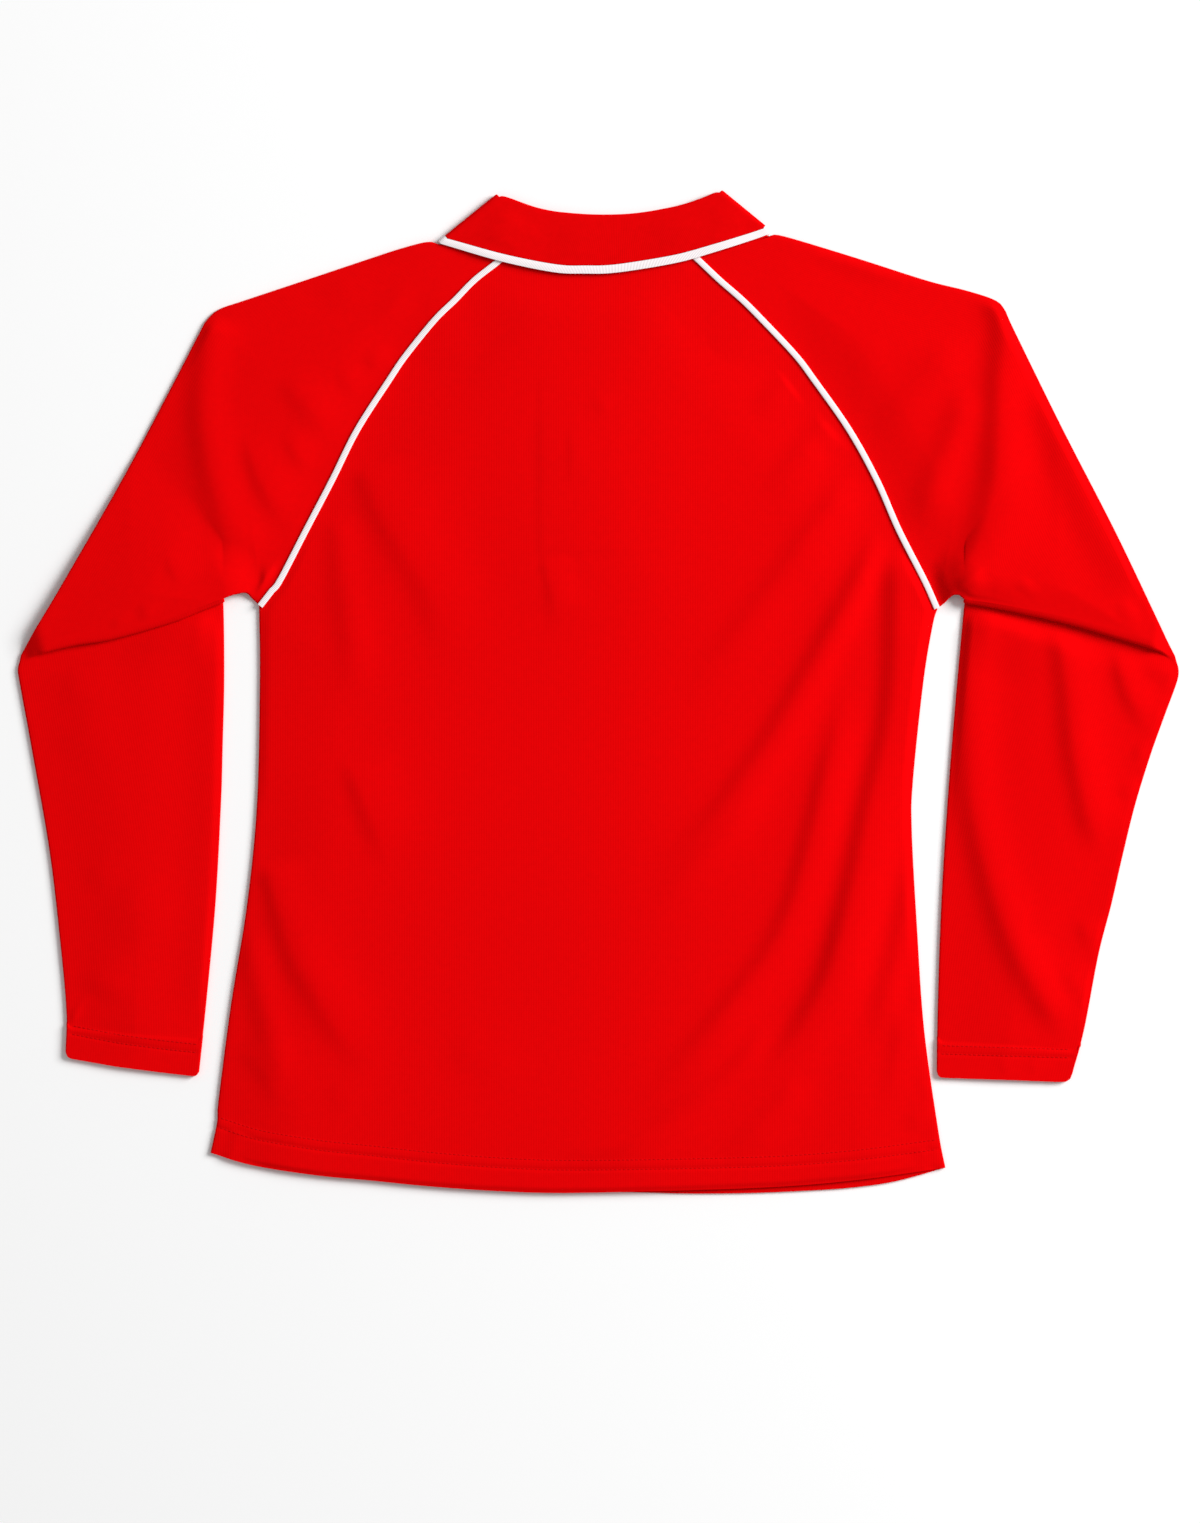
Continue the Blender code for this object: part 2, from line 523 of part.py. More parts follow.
def sleeve_start(shape, neck, raglan):
    """The sleeve's first ring on one face: along the neck from the shoulder, then down the raglan seam."""
    neckline = smooth_curve(neck, 200)
    beyond = neckline[neckline[:, 0] * shape.side > raglan[0][0] * shape.side]
    along_neck = resample(np.vstack([beyond, raglan[0]]), np.linspace(0, 1, NECK_COLUMNS + 1))
    along_neck = along_neck + side_normals(along_neck) * NECK_GAP * shape.side
    along_raglan = raglan_points(raglan)
    along_raglan = along_raglan + side_normals(along_raglan) * SEAM_GAP / 2 * shape.side
    corner = crossing(along_neck[-2:], along_raglan[:2])
    ring = np.vstack([along_neck[:-1], corner, along_raglan[1:]])
    ring[-1] -= unit(ring[-1] - ring[-2]) * ARMPIT_TRIM
    ring[0] = shape.shoulder
    return ring


def elbow_fold(shape, along):
    """Middle points and outward ways of the rings through the fold, and the height it drops by at each column.

    The sleeve turns back under itself, runs back to a second, hidden fold and turns forward again. Near the
    outer elbow the turns open out until the edge runs straight on.
    """
    line = smooth_curve(shape.fold, 60)
    crest = resample(line, along / along[-1])
    chord = unit(crest[-1] - crest[0])
    forward = np.array([chord[1], -chord[0]]) * -shape.side
    edge_way = unit(np.array(shape.outer_lower[0]) - crest[0])
    blend = ease(along / FOLD_OPEN)[:, None]
    forward = unit(edge_way * (1 - blend) + forward * blend)
    turn = math.pi * np.maximum(ease(along / FOLD_OPEN), 0.01)
    radius = np.maximum(FOLD_RADIUS, FOLD_STEP / turn)
    depth = FOLD_SHALLOW + FOLD_RATIO * np.maximum(along - FOLD_OPEN + 2.0, 0.0)
    states = []
    for step in range(TURN_STEPS + 1):
        angle = turn * step / TURN_STEPS
        states.append((angle, radius * np.sin(angle), radius * (1 - np.cos(angle))))
    advance, fall = states[-1][1] + depth * np.cos(turn), states[-1][2] + depth * np.sin(turn)
    for step in range(TURN_STEPS + 1):
        angle = turn * (1 - step / TURN_STEPS)
        states.append((angle, advance + radius * (np.sin(turn) - np.sin(angle)),
                       fall + radius * (np.cos(angle) - np.cos(turn))))
    drop = states[-1][2]
    rings, ways = [], []
    for angle, moved, fallen in states:
        rings.append(np.column_stack([crest + forward * moved[:, None], HALF + drop - fallen]))
        ways.append(np.column_stack([forward * np.sin(angle)[:, None], np.cos(angle)]))
    return np.array(rings), np.array(ways), drop


def ring_edge(middle, ways, column, radius):
    """Points round one edge of a flattened tube, from its outer face over to its under face."""
    neighbour = 1 if column == 0 else -2
    out = middle[:, column] - middle[:, neighbour]
    way = ways[:, column]
    out = unit(out - way * (out * way).sum(axis=1, keepdims=True))
    angles = np.arange(1, EDGE_STEPS) * math.pi / EDGE_STEPS
    return np.stack([middle[:, column] + radius[:, None] * (way * math.cos(angle) + out * math.sin(angle))
                     for angle in angles], axis=1)


def sleeve(name, shape, raglan, front_raglan, neck, front_neck, upper_creases, lower_creases):
    """One sleeve: a flattened tube of cloth from the raglan seam over the folded elbow to the cuff."""
    line = smooth_curve(shape.fold, 60)
    along = np.array(FOLD_COLUMNS + (travelled(line)[-1],))
    fold_rings, fold_ways, drop = elbow_fold(shape, along)
    crest = fold_rings[0, :, :2]
    hidden = fold_rings[-1, -1, :2]
    under = (crest[0], hidden, crest[-1])

    def upper_height(plan):
        """Middle height of the upper sleeve, which climbs over the folded elbow beneath it."""
        way = unit(crest[-1] - crest[0])
        lift = np.interp((plan - crest[0]) @ way, along, drop)
        from_armpit = np.abs(plan[..., 0]) - abs(crest[-1][0])
        ramp = np.clip(RAMP_LEAST + RAMP_GROWTH * from_armpit, RAMP_LEAST, RAMP_MOST)
        near = 1.0 - ease((distance_to_shape(plan, under) - UNDER_MARGIN) / ramp)
        return HALF + leaf_lift(plan) + lift * near

    down = np.array(UPPER_SHARES)
    crest_share = along / along[-1]
    uppers = []
    for ring in (sleeve_start(shape, neck, raglan), sleeve_start(shape, front_neck, front_raglan)):
        ring_share = travelled(ring) / travelled(ring)[-1]
        shares = ring_share * (1 - down[:, None]) + crest_share * down[:, None]
        outer_edge = curve_shares((tuple(ring[0]),) + shape.outer_upper[1:-1] + (tuple(crest[0]),), down)
        inner_edge = curve_shares((tuple(ring[-1]),) + shape.inner_upper[1:-1] + (tuple(crest[-1]),), down)
        plan = patch(ring, crest, outer_edge, inner_edge, shares, down, RING_FADE)
        if uppers:  # the under face soon runs straight below the upper one
            fade = (1.0 - ease(down / UNDER_FACE_REACH))[:, None, None]
            above = uppers[0][..., :2]
            plan = above + (plan - above) * fade
        uppers.append(np.dstack([plan, upper_height(plan)]))

    start = fold_rings[-1, :, :2]
    cuff = resample(np.array(shape.cuff), crest_share)
    down = np.array(LOWER_SHARES)
    outer_edge = curve_shares((tuple(start[0]),) + shape.outer_lower, down)
    inner_edge = curve_shares((tuple(start[-1]),) + shape.inner_lower, down)
    plan = patch(start, cuff, outer_edge, inner_edge, np.tile(crest_share, (len(down), 1)), down)
    to_cuff = distance_to_line(plan, shape.cuff)[0].mean(axis=1, keepdims=True)
    cuff_extra = CUFF_EXTRA * (to_cuff < CUFF_DEPTH)
    lower = np.dstack([plan, np.broadcast_to(HALF + cuff_extra, plan.shape[:2])])

    def joined(upper):
        return np.concatenate([upper[:-1], fold_rings, lower[1:]])

    def outward(upper):
        ways = [grid_normals(part) for part in (upper[:-1], lower[1:])]
        ways = [way * np.sign(way[..., 2:]) for way in ways]
        return np.concatenate([ways[0], fold_ways, ways[1]])

    top, bottom = joined(uppers[0]), joined(uppers[1])
    top_way, bottom_way = outward(uppers[0]), outward(uppers[1])
    rings = len(top)
    extra = np.zeros(rings)
    extra[-LOWER_RINGS:] = cuff_extra[1:, 0]

    columns = np.arange(len(along))
    inside = np.clip(np.minimum(columns, columns[::-1]) / 2.0, 0, 1)
    puff = np.zeros(top.shape[:2])
    upper_plan = uppers[0][:-1, :, :2]
    off_seam = ease((distance_to_line(upper_plan, raglan)[0] - 4.0) / PUFF_OFF_SEAM)
    off_fold = ease(distance_to_line(upper_plan, crest)[0] / PUFF_OFF_FOLD)
    folds = np.maximum(creases_height(upper_plan, upper_creases), 0)
    puff[:UPPER_RINGS] = (PUFF_UPPER + folds) * off_seam * off_fold
    lower_plan = lower[1:, :, :2]
    off_fold = ease((distance_to_shape(lower_plan, under) - 6.0) / PUFF_OFF_UNDER)
    folds = np.maximum(creases_height(lower_plan, lower_creases), 0)
    puff[-LOWER_RINGS:] = (PUFF_LOWER + folds) * off_fold
    puff[-3:] *= np.array([0.6, 0.3, 0.15])[:, None]  # the cuff lies flatter
    puff *= inside * (1.0 - leaf_lift(top[..., :2]) / LEAF_LIFT)
    puff[:, columns <= NECK_COLUMNS] *= ease(np.arange(rings) / 3.0)[:, None]

    skins = []
    for depth in (0.0, 1.0):
        cloth = depth * (WALL + extra)
        half = HALF + extra - cloth
        above = top + top_way * (half[:, None] + puff)[..., None]
        below = bottom - bottom_way * half[:, None, None]
        inner_edge = ring_edge(top, top_way, -1, half)
        outer_edge = ring_edge(top, top_way, 0, half)
        skins.append(np.concatenate([above, inner_edge, below[:, ::-1], outer_edge[:, ::-1]], axis=1))
    return cloth_wall(name, skins[0], skins[1], RED, tube=True)


# ---- collar and tapes ----------------------------------------------------------------------------------------
BACK_STATIONS, FRONT_STATIONS, SIDE_STEPS = 14, 9, 4
ROLL_STEPS = 4
Station = namedtuple("Station", "roll stand leaf way slope")


def collar_stations():
    """Places along the collar from its left front end, round the back, to its right front end.

    Each has its roll, the stand's lower edge, the leaf's outer edge and the way out of the garment there.
    """
    up = np.array([0.0, 0.0, 1.0])
    stations = []
    fronts = []
    for roll, stand, leaf in ((ROLL_FRONT_LEFT, NECK_FRONT_LEFT, LEAF_FRONT_LEFT),
                              (ROLL_FRONT_RIGHT, NECK_FRONT_RIGHT, LEAF_FRONT_RIGHT)):
        lines = [smooth_curve(line, FRONT_STATIONS) for line in (roll, stand, leaf)]
        fronts.append([Station(*points, -up, 0.0) for points in zip(*lines)])
    lines = [smooth_curve(line, BACK_STATIONS) for line in (ROLL_BACK, NECK_BACK, LEAF_BACK)]
    shares = np.linspace(0, 1, BACK_STATIONS)
    slopes = LEAF_SLOPE * ease(np.minimum(shares, 1 - shares) / 0.15)
    back = [Station(*points, up, slope) for *points, slope in zip(*lines, slopes)]
    sides = []
    for station, side in ((back[0], -1), (back[-1], 1)):
        run = unit(station.leaf - station.roll)
        out = np.array([run[1], -run[0], 0.0]) * (1 if side < 0 else -1)
        turns = np.arange(1, SIDE_STEPS) * math.pi / SIDE_STEPS
        sides.append([station._replace(way=up * math.cos(turn) + out * math.sin(turn)) for turn in turns])
    stations = fronts[0][::-1] + sides[0][::-1] + back + sides[1] + fronts[1]
    return stations


def collar_row(station):
    """Middle points and outward ways across the collar: up the stand, over the roll, down the leaf."""
    flat = [np.append(point, COLLAR_MID) for point in (station.roll, station.stand, station.leaf)]
    roll, stand, leaf = flat
    length = np.linalg.norm(leaf - roll)
    bulge = -unit(unit(stand - roll) + unit(leaf - roll))
    turn_radius = (LEAF_RADIUS - STAND_RADIUS) / 2
    row = [(stand + station.way * STAND_RADIUS, -station.way),
           ((stand + roll) / 2 + station.way * STAND_RADIUS, -station.way)]
    for step in range(ROLL_STEPS + 1):
        angle = math.pi * (step / ROLL_STEPS - 0.5)
        way = bulge * math.cos(angle) + station.way * math.sin(angle)
        row.append((roll + station.way * (STAND_RADIUS + turn_radius) + way * turn_radius, way))
    leaf_end = (length - COLLAR_TAPE_WIDTH - SEAM_GAP) / length
    tape_start = (length - COLLAR_TAPE_WIDTH) / length
    for share in (leaf_end / 2, leaf_end, tape_start, 1.0):
        rise = np.array([0.0, 0.0, station.slope * share])
        row.append((roll + (leaf - roll) * share + station.way * LEAF_RADIUS + rise, station.way))
    return row


def collar():
    """The collar's band and the tape along its outer edge."""
    rows = [collar_row(station) for station in collar_stations()]
    middle = np.array([[point for point, _ in row] for row in rows])
    ways = np.array([[way for _, way in row] for row in rows])
    half = COLLAR_WALL / 2
    outer, inner = middle + ways * half, middle - ways * half
    cloth_wall("collar", outer[:, :-2], inner[:, :-2], RED)
    cloth_wall("collar_tape", outer[:, -2:], inner[:, -2:], WHITE)


def raglan_tape(name, raglan):
    """A tape that lies over a back raglan seam."""
    seam = subdivided(raglan_points(raglan), ROWS_PER_SPAN)
    seam[0] += unit(seam[1] - seam[0]) * 1.0
    seam[-1] += unit(seam[-2] - seam[-1]) * 3.0
    across = side_normals(seam)[:, None] * (np.array([-0.5, 0.0, 0.5]) * TAPE_WIDTH)[None, :, None]
    plan = seam[:, None] + across
    lift = leaf_lift(plan)
    span_ends = np.arange(0, len(seam), ROWS_PER_SPAN)
    rows = np.arange(len(seam))
    straight = np.stack([np.interp(rows, span_ends, column) for column in lift[span_ends].T], axis=1)
    under = 2 * HALF + np.maximum(lift, straight) + SEAM_GAP
    return cloth_wall(name, np.dstack([plan, under + TAPE_WALL]), np.dstack([plan, under]), WHITE)


# ---- placket and buttons -------------------------------------------------------------------------------------
def placket_band(name, left, right, foot, under):
    """One band of the placket, from its foot up to the front neck seam."""
    across = np.linspace(left, right, 5)
    neck = smooth_curve(NECK_FRONT_LEFT + NECK_FRONT_RIGHT[::-1], 200)
    top = np.interp(across, neck[:, 0], neck[:, 1]) - SEAM_GAP - 0.1
    down = np.linspace(1, 0, 9)[:, None]
    y = foot + (top[None] - foot) * down
    plan = np.dstack([np.broadcast_to(across, y.shape), y])
    low = np.full(y.shape, under)
    return cloth_wall(name, np.dstack([plan, low + WALL]), np.dstack([plan, low]), RED)


def button(name, x, y):
    """A button that lies face down under the placket."""
    shape = bmesh.new()
    bmesh.ops.create_cone(shape, cap_ends=True, segments=20, radius1=BUTTON_RADIUS * MM, radius2=BUTTON_RADIUS * MM,
                          depth=BUTTON_THICK * MM)
    bmesh.ops.bevel(shape, geom=[edge for edge in shape.edges if edge.calc_face_angle() > 1.0],
                    offset=0.4 * MM, segments=1, affect="EDGES")
    mesh = bpy.data.meshes.new(name)
    shape.to_mesh(mesh)
    shape.free()
    made = add_object(name, mesh, PEARL, 0.3)
    made.location = (x * MM, y * MM, BUTTON_THICK / 2 * MM)


def main():
    """Build every piece of the shirt."""
    for existing in list(bpy.data.objects):
        bpy.data.objects.remove(existing, do_unlink=True)
    raglans = (RAGLAN_LEFT, RAGLAN_RIGHT)
    front_raglans = ((FRONT_CORNER_LEFT,) + RAGLAN_LEFT[2:], (FRONT_CORNER_RIGHT,) + RAGLAN_RIGHT[3:])
    neck_back = lowered(NECK_BACK)
    neck_front = lowered(NECK_FRONT_LEFT + NECK_FRONT_RIGHT[::-1])
    body_panel("back_panel", raglans, neck_back, HEM_BACK, back_height, 1, 28)
    notch = (PLACKET_LEFT - SEAM_GAP, PLACKET_RIGHT + SEAM_GAP)
    body_panel("front_panel", front_raglans, neck_front, HEM_FRONT, front_height, -1, 12, notch)
    sleeve("sleeve_left", LEFT_SLEEVE, raglans[0], front_raglans[0], NECK_BACK, NECK_FRONT_LEFT,
           LEFT_UPPER_CREASES, LEFT_LOWER_CREASES)
    sleeve("sleeve_right", RIGHT_SLEEVE, raglans[1], front_raglans[1], NECK_BACK[::-1], NECK_FRONT_RIGHT,
           RIGHT_UPPER_CREASES, RIGHT_LOWER_CREASES)
    collar()
    raglan_tape("raglan_tape_left", RAGLAN_LEFT)
    raglan_tape("raglan_tape_right", RAGLAN_RIGHT)
    placket_band("placket_upper", PLACKET_LEFT, PLACKET_RIGHT, PLACKET_FOOT, PLACKET_LIFT)
    placket_band("placket_under", PLACKET_LEFT + 1.0, PLACKET_RIGHT - 1.0, PLACKET_FOOT + 3.0,
                 PLACKET_LIFT + WALL + SEAM_GAP)
    for number, y in enumerate(BUTTON_ROWS, 1):
        button(f"button_{number}", BUTTON_X, y)


main()
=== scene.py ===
# %% [markdown]
# # A red long-sleeved polo shirt, laid face down
# The shirt lies flat on a pale surface and is seen from straight above, with its back up. Its panels are polyester
# knit a millimetre thick. White ribbed tape runs along the collar's edge and down the raglan seams.
#
# Each cell makes one piece or one finish. Lengths are millimetres: +X to the right of the picture, +Y towards the
# collar and +Z up from the surface. `mesh_object` turns them into metres.

# %% Load the fixed frame
import math
from collections import namedtuple

import bpy
import numpy as np
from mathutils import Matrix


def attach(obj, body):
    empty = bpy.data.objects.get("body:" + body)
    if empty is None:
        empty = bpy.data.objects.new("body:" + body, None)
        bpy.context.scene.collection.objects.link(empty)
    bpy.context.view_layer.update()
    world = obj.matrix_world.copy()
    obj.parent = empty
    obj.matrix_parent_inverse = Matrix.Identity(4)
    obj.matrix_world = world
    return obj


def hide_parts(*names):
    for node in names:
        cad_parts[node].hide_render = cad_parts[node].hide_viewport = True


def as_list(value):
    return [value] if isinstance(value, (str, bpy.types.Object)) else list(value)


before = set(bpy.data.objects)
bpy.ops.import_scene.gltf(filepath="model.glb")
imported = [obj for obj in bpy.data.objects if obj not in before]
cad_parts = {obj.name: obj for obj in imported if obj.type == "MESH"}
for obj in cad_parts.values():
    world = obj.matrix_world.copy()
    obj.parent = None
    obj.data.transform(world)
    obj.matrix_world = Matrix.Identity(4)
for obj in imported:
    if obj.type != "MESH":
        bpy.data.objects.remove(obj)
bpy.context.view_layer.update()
MM = 0.001
print("nodes:", sorted(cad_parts))

# %% [markdown]
# ## Camera
# The camera looks straight down from well above, so the cloth's few millimetres of height hardly shift anything.
# The picture is 1200 by 1523 pixels and one pixel covers 0.725 mm.

# %% Camera
MM_PER_PIXEL, PIXELS_HIGH = 0.725, 1523
VIEW_CENTRE = (0.7, -50.4)
CAMERA_HEIGHT = 5.2     # metres
camera = bpy.data.objects.new("camera", bpy.data.cameras.new("camera"))
camera.location = (VIEW_CENTRE[0] * MM, VIEW_CENTRE[1] * MM, CAMERA_HEIGHT)
camera.data.lens = camera.data.sensor_width * CAMERA_HEIGHT / (PIXELS_HIGH * MM_PER_PIXEL * MM)
bpy.context.collection.objects.link(camera)
bpy.context.scene.camera = camera
print("lens", round(camera.data.lens, 1), "mm")

# %% [markdown]
# ## Curves
# A seam or an edge is a short table of measured points. A Catmull-Rom spline gives a smooth line through them,
# and `resample` reads it at any share of its length, so every piece that meets the seam uses the same line.


# %% Curve helpers
def travelled(points, axis=0):
    """Length from the start of a line, or of a grid's lines, to each point: the running sum of the steps' lengths."""
    steps = np.linalg.norm(np.diff(points, axis=axis), axis=-1)
    return np.insert(np.cumsum(steps, axis=axis), 0, 0.0, axis=axis)


def resample(points, shares):
    """Points at the given shares of a line's length, each coordinate interpolated over the length travelled."""
    run = travelled(points)
    return np.stack([np.interp(shares, run / run[-1], values) for values in points.T], axis=1)


def smooth(table, shares):
    """The Catmull-Rom curve through a table's points, read at shares of its length.

    Between b and c, with a before and d after: half of 2b + (c - a)t + (2a - 5b + 4c - d)t^2 + (3b - a - 3c + d)t^3.
    """
    knots = np.array(table, float)
    shares = np.linspace(0, 1, shares) if isinstance(shares, int) else shares
    if len(knots) == 2:
        return resample(knots, shares)
    padded = np.vstack([2 * knots[0] - knots[1], knots, 2 * knots[-1] - knots[-2]])
    a, b, c, d = (padded[i:len(padded) - 3 + i, None] for i in range(4))
    t = np.linspace(0, 1, 24, endpoint=False)[None, :, None]
    bend = (2 * a - 5 * b + 4 * c - d) * t ** 2 + (3 * b - a - 3 * c + d) * t ** 3
    spans = 0.5 * (2 * b + (c - a) * t + bend)
    return resample(np.vstack([spans.reshape(-1, knots.shape[1]), knots[-1:]]), shares)


def unit(vectors):
    """Vectors divided by their own lengths."""
    return vectors / np.maximum(np.linalg.norm(vectors, axis=-1, keepdims=True), 1e-9)


def to_the_left(points):
    """Unit directions to the left of the way that a plan line runs: its direction (x, y) turned to (-y, x)."""
    ways = np.gradient(points, axis=0)
    return unit(np.stack([-ways[:, 1], ways[:, 0]], axis=1))


def ease(value):
    """Smooth step: 3v^2 - 2v^3, held at 0 below 0 and at 1 above 1."""
    value = np.clip(value, 0.0, 1.0)
    return value * value * (3.0 - 2.0 * value)


def from_line(plan, line):
    """Distance of plan points from a line, the share of its length that they lie at, and their side of it.

    Each stretch's nearest point is its start plus t times its way, t being the projection held within 0 and 1.
    The side is +1 to the left of the way that the line runs and -1 to its right.
    """
    line = np.array(line, float)
    run = travelled(line)
    nearest, along, side = (np.full(plan.shape[:-1], value) for value in (1e9, 0.0, 1.0))
    for start, end, before, after in zip(line, line[1:], run, run[1:]):
        way = end - start
        offset = plan - start
        t = np.clip(offset @ way / (way @ way), 0.0, 1.0)
        gap = np.linalg.norm(offset - t[..., None] * way, axis=-1)
        closer = gap < nearest
        nearest = np.where(closer, gap, nearest)
        along = np.where(closer, (before + t * (after - before)) / run[-1], along)
        side = np.where(closer, np.sign(way[0] * offset[..., 1] - way[1] * offset[..., 0]), side)
    return nearest, along, side


def from_shape(plan, corners):
    """Distance of plan points from a closed shape, and 0 for those that an odd number of its edges lie beyond."""
    ring = np.array(corners, float)
    gap = from_line(plan, np.vstack([ring, ring[:1]]))[0]
    inside = np.zeros(plan.shape[:-1], bool)
    for (ax, ay), (bx, by) in zip(ring, np.roll(ring, -1, axis=0)):
        if ay != by:
            crosses = (plan[..., 1] < ay) != (plan[..., 1] < by)
            inside ^= crosses & (plan[..., 0] < ax + (plan[..., 1] - ay) * (bx - ax) / (by - ay))
    return np.where(inside, 0.0, gap)


print("curve helpers ready")

# %% [markdown]
# ## Meshes
# Every cloth piece is a closed wall: an outer grid of points, an inner grid a millimetre inside it, and a rim that
# joins the two all round. Both grids come from numpy formulas. Each corner also gets its place on the flat cloth
# as a UV, in metres, so that the knit runs along the piece and not along the room.


# %% Mesh helpers
def mesh_object(name, points, faces, look, smooth_angle=60):
    """An object at the origin with these points, given in millimetres, and faces of four or three corners."""
    mesh = bpy.data.meshes.new(name)
    mesh.from_pydata(np.asarray(points) * MM, [], np.asarray(faces).tolist())
    mesh.materials.append(look)
    mesh.shade_smooth()
    mesh.set_sharp_from_angle(angle=math.radians(smooth_angle))
    made = bpy.data.objects.new(name, mesh)
    bpy.context.collection.objects.link(made)
    return made


def add_uv(made, faces_uv):
    """A UV map called cloth from one (u, v) in millimetres for each corner of each face, in the faces' order."""
    layer = made.data.uv_layers.new(name="cloth")
    layer.data.foreach_set("uv", (faces_uv.reshape(-1) * MM).astype(np.float32))


def grid_quads(rows, columns, around=False):
    """Corner numbers of each cell of a grid of points, row by row; around joins the last column to the first."""
    index = np.arange(rows * columns).reshape(rows, columns)
    if around:
        index = np.hstack([index, index[:, :1]])
    return np.stack([index[:-1, :-1], index[:-1, 1:], index[1:, 1:], index[1:, :-1]], axis=-1)


def wall(name, outer, inner, cloth, look, around=False, keep=None):
    """A closed wall between two grids of points. cloth is each point's place on the flat cloth.

    Each cell gives a face on the outer grid and, turned over, one on the inner grid. An edge that only one cell
    uses is a rim, and gets a face that joins the two grids. keep marks the cells that are there.
    """
    rows, columns = outer.shape[:2]
    quads = grid_quads(rows, columns, around)
    place = grid_quads(rows, columns + around)[:, :quads.shape[1]]
    keep = np.ones(quads.shape[:2], bool) if keep is None else keep
    quads, place = quads[keep], place[keep]
    way = np.cross(outer.reshape(-1, 3)[quads[:, 2]] - outer.reshape(-1, 3)[quads[:, 0]],
                   outer.reshape(-1, 3)[quads[:, 3]] - outer.reshape(-1, 3)[quads[:, 1]])
    outward = (outer - inner).reshape(-1, 3)[quads[:, 0]]
    if (way * outward).sum() < 0:
        quads, place = quads[:, ::-1], place[:, ::-1]
    starts, ends = quads, np.roll(quads, -1, axis=1)
    count = rows * columns
    rim = ~np.isin(starts * count + ends, ends * count + starts)
    rims = np.stack([ends[rim], starts[rim], starts[rim] + count, ends[rim] + count], axis=1)
    place_start, place_end = place[rim], np.roll(place, -1, axis=1)[rim]
    places = np.vstack([place, place[:, ::-1], np.stack([place_end, place_start, place_start, place_end], axis=1)])
    faces = np.vstack([quads, quads[:, ::-1] + count, rims])
    used, faces = np.unique(faces, return_inverse=True)
    points = np.concatenate([outer.reshape(-1, 3), inner.reshape(-1, 3)])[used]
    made = mesh_object(name, points, faces.reshape(-1, 4), look)
    add_uv(made, cloth.reshape(-1, 2)[places])
    return made


def grid_normals(points):
    """Unit normals of a grid: the cross product of the ways that its columns and its rows run."""
    return unit(np.cross(np.gradient(points, axis=1), np.gradient(points, axis=0)))


print("mesh helpers ready")

# %% [markdown]
# ## Finishes
# The cloth is a smooth interlock knit of polyester, dyed a clear red. It is matt, with a faint sheen in its own
# colour, so the base colour carries nearly everything and the gloss is close to none. The tape is ribbed
# polyester of a faintly pink white. Colours are sRGB hex values.


# %% Material helpers
def linear(hex_colour):
    """A colour for Blender from an sRGB hex value: c/12.92 when dark, else ((c + 0.055)/1.055)^2.4."""
    shares = np.array([int(hex_colour[i:i + 2], 16) for i in (1, 3, 5)]) / 255
    curved = np.where(shares <= 0.04045, shares / 12.92, ((shares + 0.055) / 1.055) ** 2.4)
    return (*curved.tolist(), 1.0)


def add_node(tree, kind, settings, links=()):
    """A node with its properties and sockets set; links is (input, source node, its output) for each link."""
    made = tree.nodes.new("ShaderNode" + kind)
    for key, value in settings.items():
        if isinstance(key, int) or key in made.inputs:
            made.inputs[key].default_value = value
        else:
            setattr(made, key, value)
    for socket, source, output in links:
        tree.links.new(source.outputs[output], made.inputs[socket])
    return made


def maths(tree, operation, value, *links):
    """A Math node; value goes in its second socket, where an operation of one input ignores it."""
    return add_node(tree, "Math", {"operation": operation, 1: value}, links)


def cloth_axes(tree):
    """The place on the flat cloth, in metres, as separate X and Y."""
    return add_node(tree, "SeparateXYZ", {}, [("Vector", add_node(tree, "UVMap", {"uv_map": "cloth"}), "UV")])


def new_material(name, colour, roughness, **sockets):
    """A Principled material, its node tree and its shader, whose own sockets hold the whole-surface values."""
    made = bpy.data.materials.new(name)
    made.use_nodes = True
    shader = made.node_tree.nodes["Principled BSDF"]
    shader.inputs["Base Color"].default_value = linear(colour)
    shader.inputs["Roughness"].default_value = roughness
    for key, value in sockets.items():
        shader.inputs[key.replace("_", " ")].default_value = value
    return made, made.node_tree, shader


print("material helpers ready")

# %% [markdown]
# ### Interlock knit
# A knit is columns of V-shaped loops. Here a wave across the columns is shifted by a zigzag, which draws the Vs,
# and a second wave rounds each column. Real loops would be too fine for the picture, so they are drawn 1.8 mm wide
# on the body and 1.6 mm on the collar. Soft noise varies the dye by a few parts in a hundred, as in any dyed knit.


